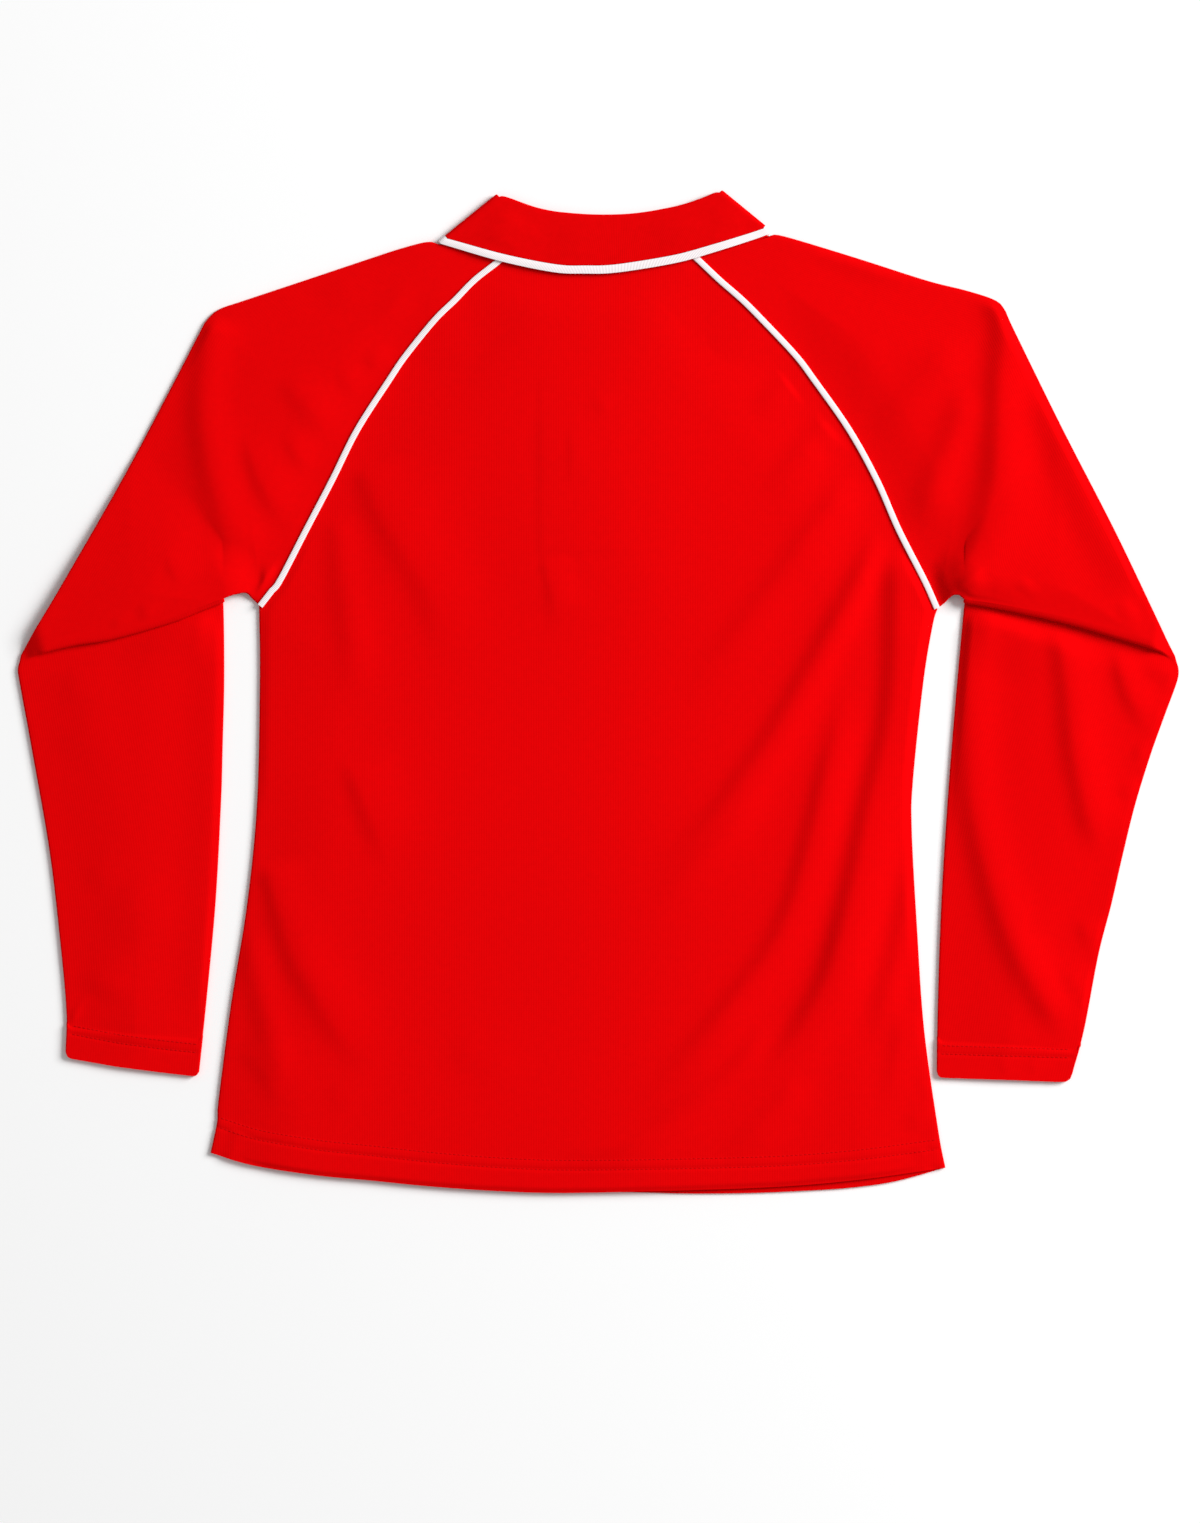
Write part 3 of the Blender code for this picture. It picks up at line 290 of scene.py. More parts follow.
# %% Knit finish
def knit(name, colour, dark, loop=1.8, depth=0.00014):
    """A knitted cloth. Height = 0.6 sin(2 pi (v/(0.8 loop) + zigzag(u/loop))) + cos(2 pi u/loop), u, v on the cloth."""
    made, tree, shader = new_material(name, colour, 0.9, Specular_IOR_Level=0.02, Sheen_Weight=0.12,
                                      Sheen_Roughness=0.5, Sheen_Tint=linear(colour))
    axes = cloth_axes(tree)
    across = maths(tree, "MULTIPLY", 1000 / loop, (0, axes, "X"))
    along = maths(tree, "MULTIPLY", 1000 / (0.8 * loop), (0, axes, "Y"))
    zigzag = maths(tree, "PINGPONG", 0.5, (0, across, 0))
    shifted = maths(tree, "ADD", 0.5, (0, along, 0), (1, zigzag, 0))
    loops = maths(tree, "SINE", 0.5, (0, maths(tree, "MULTIPLY", 2 * math.pi, (0, shifted, 0)), 0))
    columns = maths(tree, "COSINE", 0.5, (0, maths(tree, "MULTIPLY", 2 * math.pi, (0, across, 0)), 0))
    both = maths(tree, "MULTIPLY_ADD", 0.6, (0, loops, 0), (2, columns, 0))
    bump = add_node(tree, "Bump", {"Strength": 0.15, "Distance": depth}, [("Height", both, 0)])
    tree.links.new(bump.outputs["Normal"], shader.inputs["Normal"])
    place = add_node(tree, "TexCoord", {})
    mottle = add_node(tree, "TexNoise", {"Scale": 220.0, "Detail": 4.0, "Roughness": 0.6},
                      [("Vector", place, "Object")])
    share = add_node(tree, "MapRange", {"From Min": 0.3, "From Max": 0.7}, [("Value", mottle, "Fac")])
    dye = add_node(tree, "Mix", {"data_type": "RGBA", 6: linear(dark), 7: linear(colour)},
                   [("Factor", share, "Result")])
    tree.links.new(dye.outputs[2], shader.inputs["Base Color"])
    return made


RED_KNIT = knit("red_interlock_knit", "#df0104", "#da0104")
RED_RIB = knit("red_collar_knit", "#db0104", "#d40103", loop=1.6, depth=0.00016)
print(RED_KNIT.name, RED_RIB.name)

# %% [markdown]
# ### Ribbed tape, thread and buttons
# The tape is woven with fine ribs straight across it, drawn here 1.1 mm apart. The sewing thread is the cloth's
# red, painted darker all over as painted shade for the hollow that it sinks into. The buttons are cast polyester resin
# in the same red, with a soft gloss.


# %% Tape, thread and button finishes
def ribbed_tape(name, colour, spacing=1.1):
    """A woven tape. Height = sin(2 pi v/spacing), with v running along the tape."""
    made, tree, shader = new_material(name, colour, 0.8, Specular_IOR_Level=0.1)
    turns = maths(tree, "MULTIPLY", 2000 * math.pi / spacing, (0, cloth_axes(tree), "Y"))
    ribs = maths(tree, "SINE", 0.5, (0, turns, 0))
    bump = add_node(tree, "Bump", {"Strength": 0.5, "Distance": 0.00012}, [("Height", ribs, 0)])
    tree.links.new(bump.outputs["Normal"], shader.inputs["Normal"])
    return made


WHITE_TAPE = ribbed_tape("white_ribbed_tape", "#efe7e9")
# The thread's darker red is painted shade, standing for the shade where the stitches sink into the knit.
THREAD_PAINTED_SHADE = new_material("red_thread_painted_shade", "#c40104", 0.6, Specular_IOR_Level=0.05)[0]
BUTTON_RESIN = new_material("red_button_resin", "#c8141c", 0.25, IOR=1.55)[0]
print(WHITE_TAPE.name, THREAD_PAINTED_SHADE.name, BUTTON_RESIN.name)

# %% [markdown]
# ## The shirt's outline
# Each seam and edge was measured on the flat lay, a second time after the solids were made, so these tables leave
# the solids' outlines by up to 5 mm. A raglan sleeve has no shoulder seam: it runs up to the neck in one piece.

# %% Seams and edges
RAGLAN_LEFT = ((-64, 320.5), (-73.9, 311.8), (-90.6, 298.7), (-104.8, 284.2), (-119.6, 269.7), (-140.3, 244.3),
               (-152.6, 226.2), (-175.8, 190), (-193.9, 153.7), (-212.8, 117.5), (-231.6, 81.2), (-237.7, 73.4),
               (-246.4, 62.2))
RAGLAN_RIGHT = ((62.5, 322), (72.1, 313.2), (87.4, 298.7), (104, 284.2), (118.5, 269.7), (142.5, 244.3),
                (156.2, 226.2), (181.6, 190), (201.6, 153.7), (217.5, 117.5), (236, 81.2), (245.4, 60.2))
FRONT_RAGLAN_LEFT = ((-83.9, 304.2),) + RAGLAN_LEFT[2:]
FRONT_RAGLAN_RIGHT = ((88, 297.8),) + RAGLAN_RIGHT[3:]
SIDE_LEFT = ((-246.4, 62.2), (-245.8, 8.7), (-248, -81.9), (-255.2, -154.4), (-266.8, -226.9), (-275.8, -296),
             (-276.6, -310), (-279, -322.5), (-281.6, -334))
SIDE_RIGHT = ((245.4, 60.2), (242.2, 50), (235.3, 8.7), (227.6, -63.8), (226.7, -100.1), (230.6, -172.6),
              (235.7, -245.1), (245.9, -317.6), (251, -344.8))
HEM_BACK = ((-281.6, -334), (-250.9, -343), (-205.2, -350.2), (-165, -354), (-129.8, -357.6), (-85, -361),
            (-40, -362.9), (0.7, -362.6), (66, -361), (134.9, -358.2), (191.4, -353.1), (251, -344.8))
HEM_FRONT = ((-281.6, -334), (-250.9, -341.5), (-205.2, -348.5), (-129.8, -355.5), (-40, -361.3), (0.7, -362.2),
             (35, -362.8), (66, -363.5), (110, -363.1), (155, -361.2), (185, -359), (215, -354.6),
             (251, -344.8))
NECK_BACK = ((-98.5, 334.5), (-64, 321), (0, 316), (62.5, 322.5), (110, 339))
NECK_FRONT_LEFT = ((-98.5, 334.5), (-91.5, 318.5), (-83.5, 304.5), (-60, 284.5), (-28, 270.5), (-11, 268))
NECK_FRONT_RIGHT = ((110, 339), (99.3, 318.2), (88, 298.2), (66, 282.5), (26, 270.5), (-9, 268))
ROLL_BACK = ((-73.4, 357.9), (-70.6, 358.3), (-64.5, 356.5), (-56, 353.3), (-47, 350.2),
             (-36, 347.6), (-25.8, 346.2), (-10, 344.9), (4.4, 344.5), (20, 345), (34.4, 346.6),
             (50, 349.4), (61.8, 352.2), (73, 356), (81, 359.2), (85.4, 360.9), (88.2, 360.8))
LEAF_BACK = ((-114.6, 324.6), (-72.1, 312.1), (-33.4, 304), (-11.1, 302.9), (13.1, 303.7), (55.5, 310.6),
             (84.8, 318.8), (112, 327.6), (123.6, 331.8))
ROLL_FRONT_LEFT = ((-73.4, 357.9), (-50, 328), (-30, 302), (-11, 287))
ROLL_FRONT_RIGHT = ((88.2, 360.8), (60, 329), (26, 302), (-9, 287))
LEAF_FRONT_LEFT = ((-114.6, 324.6), (-96, 276), (-66, 228))
LEAF_FRONT_RIGHT = ((123.6, 331.8), (96, 276), (52, 228))
PLACKET = dict(left=-28.0, right=8.0, foot=105.0, top=268.0)
WALL = 1.0              # body and sleeve cloth
SEAM_GAP = 0.3          # between two pieces that are sewn together
HALF = 1.3              # half of the two cloths and the air between them, at an edge
PLACKET_LIFT = 2.3      # the buttons under the placket hold it up
LEAF_LIFT = 1.5         # how far the collar's front leaf holds up what lies on it
print("chest", round(RAGLAN_RIGHT[-1][0] - RAGLAN_LEFT[-1][0]), "mm across the armpits")

# %% [markdown]
# ## Folds
# The shirt was smoothed by hand, so its folds are soft and shallow: they run from the armpits and the raglan seams
# down and inwards, as the sleeves pull on the body. Each is a bell across a smooth line, exp(-(d/width)^2), that runs
# from north to south. It has its own widths on its west and its east side (two numbers where a width changes along
# the line), and it fades in over its begin share of the line and out over its end share. Neighbours add up.

# %% Folds
Fold = namedtuple("Fold", "height west east line begin end", defaults=(0.45, 0.5))


def folds_height(plan, folds):
    """Height that a table of folds adds: height x bell(distance) x a smooth rise and fall along each line."""
    total = np.zeros(plan.shape[:-1])
    for fold in folds:
        gap, along, side = from_line(plan, smooth(fold.line, 6 * len(fold.line)))
        west, east = (np.interp(along, (0.0, 1.0), np.resize(width, 2)) for width in (fold.west, fold.east))
        width = np.where(side > 0, east, west)
        fade = ease(along / fold.begin) * ease((1.0 - along) / fold.end)
        total += fold.height * np.exp(-(gap / width) ** 2) * fade
    return total


BACK_FOLDS = (
    Fold(0.5, 5, 8, ((33, 304), (31, 290), (26, 281)), 0.3, 0.5),
    Fold(0.8, 6, 12, ((97, 279), (80, 268), (62, 260)), 0.2, 0.6),
    Fold(1.1, 7, 13, ((138, 225), (107, 201)), 0.1, 0.7),
    Fold(1.3, 8, 16, ((168, 194), (120, 149)), 0.1, 0.7),
    Fold(5.4, (11, 9), (26, 20), ((219, 105), (219, 54), (217, 7), (211, -36), (199, -83), (191, -122), (181, -165),
         (169, -205), (155, -233), (135, -264), (115, -288), (92, -315)), 0.06, 0.35),
    Fold(3.4, (8, 11), (8, 22), ((205, 123), (193, 89), (170, 44), (151, 9), (131, -27), (108, -62), (84, -94),
         (57, -122), (36, -147)), 0.15, 0.35),
    Fold(2.0, (9, 12), (18, 20), ((189, 159), (162, 124), (135, 85), (112, 54), (85, 22), (58, -9)), 0.15, 0.4),
    Fold(3.0, (8, 10), (15, 19), ((184, 10), (174, -29), (164, -68), (155, -107), (143, -150), (127, -186),
         (104, -218), (76, -253), (49, -281), (21, -305)), 0.25, 0.3),
    Fold(2.2, (9, 8), (18, 14), ((131, -233), (103, -272), (67, -300), (31, -324), (-5, -335), (-33, -338)), 0.25,
         0.35),
    Fold(1.1, (7, 9), (14, 18), ((149, -275), (130, -301), (110, -320), (84, -335)), 0.3, 0.45),
    Fold(1.9, (8, 10), (10, 12), ((225, -113), (224, -148), (217, -188), (207, -227), (198, -259)), 0.3, 0.3),
    Fold(1.0, (7, 9), (14, 18), ((222, -222), (217, -265), (206, -311)), 0.3, 0.45),
    Fold(0.7, (8, 11), (12, 16), ((125, -74), (91, -106), (60, -137), (25, -165)), 0.3, 0.4),
    Fold(0.6, (5, 7), (9, 12), ((226, -302), (235, -317))),
    Fold(0.7, (7, 9), (15, 20), ((160, 183), (137, 159), (118, 143)), 0.3, 0.5),
    Fold(1.0, (5, 7), (8, 9), ((230, 86), (235, 67), (239, 55))),
    Fold(0.9, (9, 11), (26, 34), ((-215, 132), (-227, 105), (-234, 66), (-238, 27), (-239, -19), (-240, -66),
         (-242, -101)), 0.15, 0.25),
    Fold(1.3, (9, 12), (12, 16), ((-190, 133), (-186, 86), (-180, 47), (-177, 12), (-179, -20)), 0.15, 0.4),
    Fold(1.6, (9, 14), (26, 34), ((-171, 167), (-159, 135), (-139, 101), (-122, 73), (-112, 40), (-110, 8)), 0.08,
         0.4),
    Fold(1.4, (7, 9), (27, 30), ((-184, -43), (-168, -83), (-156, -110), (-147, -130)), 0.3, 0.45),
    Fold(1.9, (7, 12), (18, 26), ((-241, -121), (-232, -154), (-220, -192), (-206, -214), (-190, -241), (-171, -263),
         (-151, -282)), 0.08, 0.4),
    Fold(1.6, (9, 11), (12, 12), ((-254, -167), (-247, -210), (-237, -249), (-227, -288)), 0.25, 0.25),
    Fold(1.0, (8, 8), (15, 15), ((-262, -253), (-242, -273), (-226, -305)), 0.3, 0.45),
    Fold(0.5, (9, 12), (18, 24), ((-195, -280), (-174, -306))),
    Fold(0.5, (12, 16), (18, 24), ((-109, -246), (-79, -269), (-46, -273)), 0.3, 0.45),
    Fold(1.4, (6, 8), (24, 24), ((-43, 110), (-36, 83), (-31, 63), (-26, 40)), 0.3, 0.45),
    Fold(1.0, (44, 40), (80, 80), ((-25, 257), (-26, 206), (-27, 149), (-23, 96)), 0.5, 0.5),
    Fold(0.4, (3, 4), (12, 15), ((-19, 198), (-19, 171), (-17, 144))),
)
LEFT_UPPER_FOLDS = (
    Fold(2.5, (10, 14), (15, 18), ((-279, 273), (-284, 240), (-287, 212), (-284, 180), (-276, 144), (-266, 108),
         (-258, 84)), 0.06, 0.15),
    Fold(1.3, (6, 9), (16, 20), ((-256, 192), (-248, 162), (-239, 144), (-226, 125), (-216, 109)), 0.3, 0.45),
    Fold(0.9, (5, 7), (12, 15), ((-228, 190), (-217, 171), (-204, 161))),
    Fold(1.1, (8, 11), (14, 18), ((-232, 232), (-211, 208), (-197, 192), (-186, 177)), 0.3, 0.45),
    Fold(0.6, (5, 7), (10, 14), ((-191, 239), (-177, 220), (-171, 214))),
    Fold(0.7, (4, 5), (9, 12), ((-170, 248), (-163, 240), (-157, 231))),
    Fold(0.8, (10, 14), (11, 15), ((-208, 282), (-172, 299), (-147, 311), (-124, 323)), 0.3, 0.45),
    Fold(0.6, (9, 12), (11, 15), ((-130, 317), (-143, 284), (-154, 251)), 0.3, 0.45),
    Fold(0.6, (4, 5), (12, 15), ((-313, 106), (-308, 89), (-298, 74))),
    Fold(2.4, (4, 5), (10, 14), ((-245, 94), (-241, 85), (-243, 76), (-252, 70))),
    Fold(0.6, (4, 5), (10, 14), ((-333, 65), (-328, 58), (-323, 51))),
    Fold(0.4, (4, 5), (10, 14), ((-352, 55), (-347, 49), (-344, 44))),
)
RIGHT_UPPER_FOLDS = (
    Fold(4.3, (11, 14), (20, 30), ((292, 288), (295, 258), (292, 222), (291, 179), (288, 148), (279, 114), (268, 88),
         (260, 68)), 0.03, 0.12),
    Fold(1.9, (10, 12), (13, 13), ((270, 226), (259, 191), (246, 159), (237, 132), (233, 111)), 0.25, 0.3),
    Fold(1.2, (12, 10), (18, 15), ((265, 259), (239, 226), (212, 199), (195, 182)), 0.3, 0.45),
    Fold(0.4, (8, 11), (14, 18), ((213, 255), (196, 246), (175, 236))),
    Fold(3.0, (12, 19), (13, 12), ((316, 231), (326, 204), (340, 171), (356, 136), (371, 108), (390, 81), (398, 67)),
         0.2, 0.15),
    Fold(1.1, (7, 9), (6, 8), ((129, 331), (166, 318), (202, 306), (239, 297)), 0.15, 0.35),
    Fold(2.2, (4, 5), (9, 12), ((281, 88), (271, 82), (263, 76), (258, 67))),
    Fold(0.5, (5, 7), (9, 12), ((311, 83), (303, 72))),
    Fold(0.6, (5, 7), (9, 12), ((388, 65), (375, 53))),
)
LEFT_LOWER_FOLDS = (
    Fold(1.0, (15, 15), (24, 24), ((-278, 55), (-279, -7), (-280, -66), (-283, -125), (-286, -185), (-290, -241)),
         0.03, 0.12),
    Fold(0.5, (8, 11), (15, 20), ((-378, 22), (-379, 3), (-382, -17))),
    Fold(0.5, (8, 11), (18, 24), ((-359, -7), (-366, -20), (-377, -33), (-393, -48))),
    Fold(0.4, (8, 11), (16, 21), ((-373, -123), (-360, -133), (-346, -144))),
    Fold(0.8, (20, 27), (24, 32), ((-344, -135), (-328, -161), (-310, -186)), 0.3, 0.45),
    Fold(0.9, (7, 9), (16, 21), ((-380, -204), (-364, -210), (-343, -215), (-333, -215))),
    Fold(0.6, (5, 7), (9, 12), ((-383, -231), (-376, -236))),
)
RIGHT_LOWER_FOLDS = (
    Fold(3.0, (11, 11), (18, 17), ((270, 60), (269, -7), (270, -66), (276, -104), (287, -145), (301, -183),
         (320, -217), (336, -240), (346, -254)), 0.04, 0.12),
    Fold(2.7, (9, 10), (16, 20), ((332, 59), (334, 45), (340, 7), (344, -33), (350, -65), (358, -96), (372, -118)),
         0.06, 0.2),
    Fold(2.0, (6, 8), (16, 15), ((373, 37), (376, 27), (384, 0), (396, -20), (403, -34)), 0.3, 0.45),
    Fold(0.6, (5, 7), (9, 12), ((384, -59), (382, -80))),
    Fold(0.6, (5, 7), (8, 9), ((386, -39), (398, -49))),
    Fold(0.9, (5, 7), (10, 14), ((345, -161), (355, -177), (362, -189))),
    Fold(0.4, (8, 11), (14, 18), ((315, -155), (332, -176))),
    Fold(1.1, (7, 9), (10, 14), ((334, -193), (347, -213), (355, -234))),
    Fold(0.7, (3, 4), (8, 9), ((287, -264), (301, -278))),
    Fold(0.6, (3, 4), (8, 9), ((311, -266), (319, -279))),
    Fold(1.6, (9, 12), (11, 15), ((394, 36), (409, 16), (413, -1))),
)
print("folds:", sum(map(len, (BACK_FOLDS, LEFT_UPPER_FOLDS, RIGHT_UPPER_FOLDS, LEFT_LOWER_FOLDS, RIGHT_LOWER_FOLDS))))

# %% [markdown]
# ## How high the cloth lies
# The front rests on the surface. It comes up only where the collar's front leaf, the placket and its buttons lie
# beneath it. The back lies on the front, higher in its middle than at its edges, and shows the placket through.


# %% Heights
def falls(distance, width):
    """1 up to a line and 0 at a width beyond it, with a smooth step between."""
    return 1.0 - ease(distance / width)


def nearest_of(plan, *lines):
    """Distance to the nearest of several lines."""
    return np.minimum.reduce([from_line(plan, line)[0] for line in lines])


def leaf_lift(plan):
    """How far the collar's front leaf lifts what lies on it: fully within 14 of it, easing to 0 in the next 45."""
    shapes = (ROLL_FRONT_LEFT + LEAF_FRONT_LEFT[::-1], ROLL_FRONT_RIGHT + LEAF_FRONT_RIGHT[::-1])
    gap = np.minimum(*[from_shape(plan, shape) for shape in shapes])
    return LEAF_LIFT * falls(gap - 14.0, 45.0)


def beside_placket(plan, margin):
    """Distance to the placket's rectangle grown by a margin, and 0 over it."""
    foot, top = PLACKET["foot"] - margin, PLACKET["top"] + margin
    left, right = PLACKET["left"] - margin, PLACKET["right"] + margin
    return from_shape(plan, ((left, foot), (right, foot), (right, top), (left, top)))


def front_height(plan):
    """Height of the front's lower face: the larger of the leaf's lift and the placket's, which ends within 24."""
    return np.maximum(leaf_lift(plan), PLACKET_LIFT * falls(beside_placket(plan, 1.0), 24.0))


def cloth_thickness(plan, hem):
    """A panel's thickness: one wall, and 0.7 more on the inside where the hem is turned up by 20.5."""
    at_hem = falls(from_line(plan, hem)[0] - 20.5, 1.5)
    to_seams = nearest_of(plan, RAGLAN_LEFT, SIDE_LEFT, RAGLAN_RIGHT, SIDE_RIGHT)
    return WALL + 0.7 * at_hem * ease((to_seams - 4.0) / 12.0)


def crowned(distance, rise, rim=0.3):
    """Height at a distance from an edge: the rim's rise within 3, as the cloth turns over, and the rest within 60."""
    return rim * ease(distance / 3.0) + (rise - rim) * ease(distance / 60.0)


def groove(distance, width=1.2):
    """Depth, from 0 to 1, that a row of stitches draws the cloth in at a distance: exp(-(d/width)^2)."""
    return np.exp(-(distance / width) ** 2)


def hem_line(x):
    """How far above the hem's edge it is stitched: a little nearer to it towards the right."""
    return 16.5 - 0.01 * x


SEWN_EDGE, TAPED_EDGE = 1.3, 3.6    # from a seam to where the panel's face begins, at the side and beside the tape
FOLD_LIMIT = 5.5                    # no fold stands higher on the back
OVER_PLACKET, UNDER_LEAF = 5.9, 4.25     # the back's least height over the placket, and its most under the collar
TWIN_ROWS = 7.0                     # between the hem's two rows of stitches


def back_height(plan):
    """Height of the back's outer face: 2.6 at its edges, crowned by 2.6, with the folds growing from its seams.

    A fold h counts as limit x tanh(h / limit), and grows within 5 of the side seams and 4 of the tapes. The
    placket shows as a step of 0.35 left of it and below it, the second button as a bell of 0.4, and the hem as an
    edge turned down by 1.3 with two stitched grooves, the upper one on a step of 0.3.
    """
    x, y = plan[..., 0], plan[..., 1]
    to_raglan = nearest_of(plan, RAGLAN_LEFT, RAGLAN_RIGHT) - TAPED_EDGE
    to_west, to_east = (nearest_of(plan, side) - SEWN_EDGE for side in (SIDE_LEFT, SIDE_RIGHT))
    to_side = np.minimum(to_west, to_east)
    folded = FOLD_LIMIT * np.tanh(folds_height(plan, BACK_FOLDS) / FOLD_LIMIT)
    folded = folded * ease(to_side / 5.0) * ease(to_raglan / 4.0)
    crown = np.minimum(crowned(to_west, 2.6, 0.1), crowned(to_east, 2.6))
    crown = np.minimum(crown, 2.6 * ease(to_raglan / 70.0))
    height = 2 * HALF + np.maximum(crown + folded, leaf_lift(plan))
    height = height + np.maximum(OVER_PLACKET - height, 0.0) * falls(beside_placket(plan, 12.0), 60.0)
    step = 0.35 * falls(-40.0 - x, 7.0) * falls(103.0 - y, 4.0)
    height = height + step * falls(x - 4.0, 30.0) * falls(y - 180.0, 80.0)
    height = height + 0.4 * np.exp(-(np.linalg.norm(plan - (2.0, 209.0), axis=-1) / 6.0) ** 2)
    under_leaf = np.maximum(falls(from_line(plan, smooth(LEAF_BACK, 40))[0] - 2.0, 34.0), y > 312.0)
    height = height - np.maximum(height - UNDER_LEAF, 0.0) * under_leaf
    above_hem = from_line(plan, HEM_BACK)[0]
    above_row = above_hem - hem_line(x)
    grooves = 0.5 * groove(above_row) + 0.2 * groove(above_row - TWIN_ROWS)
    height = height - 1.3 * falls(above_hem, 4.0) * ease(to_side / 12.0) + 0.3 * falls(above_row - 6.0, 3.0) - grooves
    inside = front_height(plan) + cloth_thickness(plan, HEM_FRONT) + cloth_thickness(plan, HEM_BACK)
    return np.maximum(height, inside + SEAM_GAP)


print("heights ready")

# %% [markdown]
# ## Body panels
# A panel is filled in between its four edges: neck, hem and the two seams. Its rims curl to meet the other panel's
# down the side seams and lie flat under the tape along the raglan seams. A grid of 3 mm is fine enough for the
# back's folds, and one twice as coarse for the plain front.


# %% Panels
FINE_FROM = 0.93    # share of the side seams below which the rows are close together, for the stitched hem
RIM_STEPS = 4       # columns of points round each rim
UNDER_TAPE = 1.9    # how far a rim reaches out under the tape


def patch(top, bottom, left, right, shares, down, fade=1.0):
    """A grid filled in between four edges that share their corners.

    Points run straight between the sides, at shares of the way across, plus the top's and the bottom's own bends
    times (1 - down)^fade and down^fade.
    """
    down = down[:, None, None]
    across = shares[..., None]
    top_bend = top[None] - (top[0] * (1 - across) + top[-1] * across)
    bottom_bend = bottom[None] - (bottom[0] * (1 - across) + bottom[-1] * across)
    straight = left[:, None] * (1 - across) + right[:, None] * across
    return straight + top_bend * (1 - down) ** fade + bottom_bend * down ** fade


def end_points(curve, across, start, end):
    """Points of a neck or hem curve at the given x, bent within 12 of both ends to run from start to end."""
    line = smooth(curve, 400)
    height = np.interp(across, line[:, 0], line[:, 1])
    for target, value in ((start, height[0]), (end, height[-1])):
        height = height + (target[1] - value) * falls(np.abs(across - target[0]), 12.0)
    return np.stack([across, height], axis=1)


def panel(name, raglans, neck, hem, height, face, rows, stops, look):
    """The back (face 1) or the front (face -1).

    rows gives how many rows there are along the raglan seams, then down the side seams, then at the hem. stops
    gives (x, columns) from left to right: an x that every row keeps, or None for the panel's own edge, and the
    columns up to it. A side rim is an arc of radius HALF: out by r sin(a), and towards the other panel by
    r(1 - cos(a)), to the angle whose cosine is half the seam's gap over r.
    """
    edges = []
    for raglan, side_seam, outward in ((raglans[0], SIDE_LEFT, -1), (raglans[1], SIDE_RIGHT, 1)):
        shares = np.concatenate([np.linspace(0, FINE_FROM, rows[1] + 1)[:-1], np.linspace(FINE_FROM, 1, rows[2] + 1)])
        edge = np.vstack([smooth(raglan, rows[0] + 1), smooth(side_seam, shares)[1:]])
        edges.append((edge, outward * to_the_left(edge)))
    on_raglan = np.arange(len(edges[0][0])) <= rows[0]
    curl = math.acos(SEAM_GAP / 2 / HALF)
    reach = np.where(on_raglan, 2.05, HALF * math.sin(curl))[:, None]
    (left, left_out), (right, right_out) = edges
    starts = [left - left_out * reach, right - right_out * reach]
    width = starts[1][:, 0] - starts[0][:, 0]
    shares, before = [np.zeros((len(width), 1))], np.zeros(len(width))
    for x, columns in stops:
        after = np.ones(len(width)) if x is None else (x - starts[0][:, 0]) / width
        shares.append(before[:, None] + (after - before)[:, None] * np.arange(1, columns + 1) / columns)
        before = after
    shares = np.hstack(shares)
    ends = []
    for row, curve in ((0, neck), (-1, hem)):
        start, end = starts[0][row], starts[1][row]
        ends.append(end_points(curve, start[0] + shares[row] * (end[0] - start[0]), start, end))
    plan = patch(ends[0], ends[1], *starts, shares, travelled(left) / travelled(left)[-1])
    keep = None
    if len(stops) == 3:
        plan, keep = notched(plan, stops)
    middle = np.dstack([plan, height(plan)])
    normals = grid_normals(middle)
    normals *= np.sign(normals[..., 2:]) * face
    points, ways = [middle], [normals]
    for start, out, column in ((starts[0], left_out, 0), (starts[1], right_out, -1)):
        rim, rim_ways = [], []
        for step in range(1, RIM_STEPS + 1):
            flat = start + out * UNDER_TAPE * step / RIM_STEPS
            turned, lean = curl * step / RIM_STEPS, math.pi / 2 / RIM_STEPS * step
            curled = np.column_stack([start + out * HALF * math.sin(turned),
                                      middle[:, column, 2] - face * HALF * (1 - math.cos(turned))])
            curled_way = np.column_stack([out * math.sin(lean), np.full(len(out), face * math.cos(lean))])
            rim.append(np.where(on_raglan[:, None], np.column_stack([flat, height(flat)]), curled))
            rim_ways.append(np.where(on_raglan[:, None], normals[:, column], curled_way))
        place, order = (0, slice(None, None, -1)) if column == 0 else (len(points), slice(None))
        points.insert(place, np.stack(rim[order], axis=1))
        ways.insert(place, np.stack(rim_ways[order], axis=1))
    outer = np.concatenate(points, axis=1)
    inner = outer - np.concatenate(ways, axis=1) * cloth_thickness(outer[..., :2], hem)[..., None]
    if keep is not None:
        keep = np.pad(keep, ((0, 0), (RIM_STEPS, RIM_STEPS)), constant_values=True)
    return wall(name, outer, inner, outer[..., :2], look, keep=keep)


def notched(plan, stops):
    """Line the rows up with the placket's foot and leave out the cells above it, where the placket's bands go."""
    first, second = stops[0][1], stops[0][1] + stops[1][1]
    foot = PLACKET["foot"] - SEAM_GAP
    row = int(np.argmin(np.abs(plan[:, first, 1] - foot)))
    plan[:, first, 0], plan[:, second, 0] = stops[0][0], stops[1][0]
    plan[row, first:second + 1, 1] = foot
    keep = np.ones((plan.shape[0] - 1, plan.shape[1] - 1), bool)
    keep[:row, first:second] = False
    return plan, keep


def lowered(curve):
    """A neck curve moved down by the gap to the collar's stand, a seam's and 0.1 more."""
    return tuple((x, y - SEAM_GAP - 0.1) for x, y in curve)


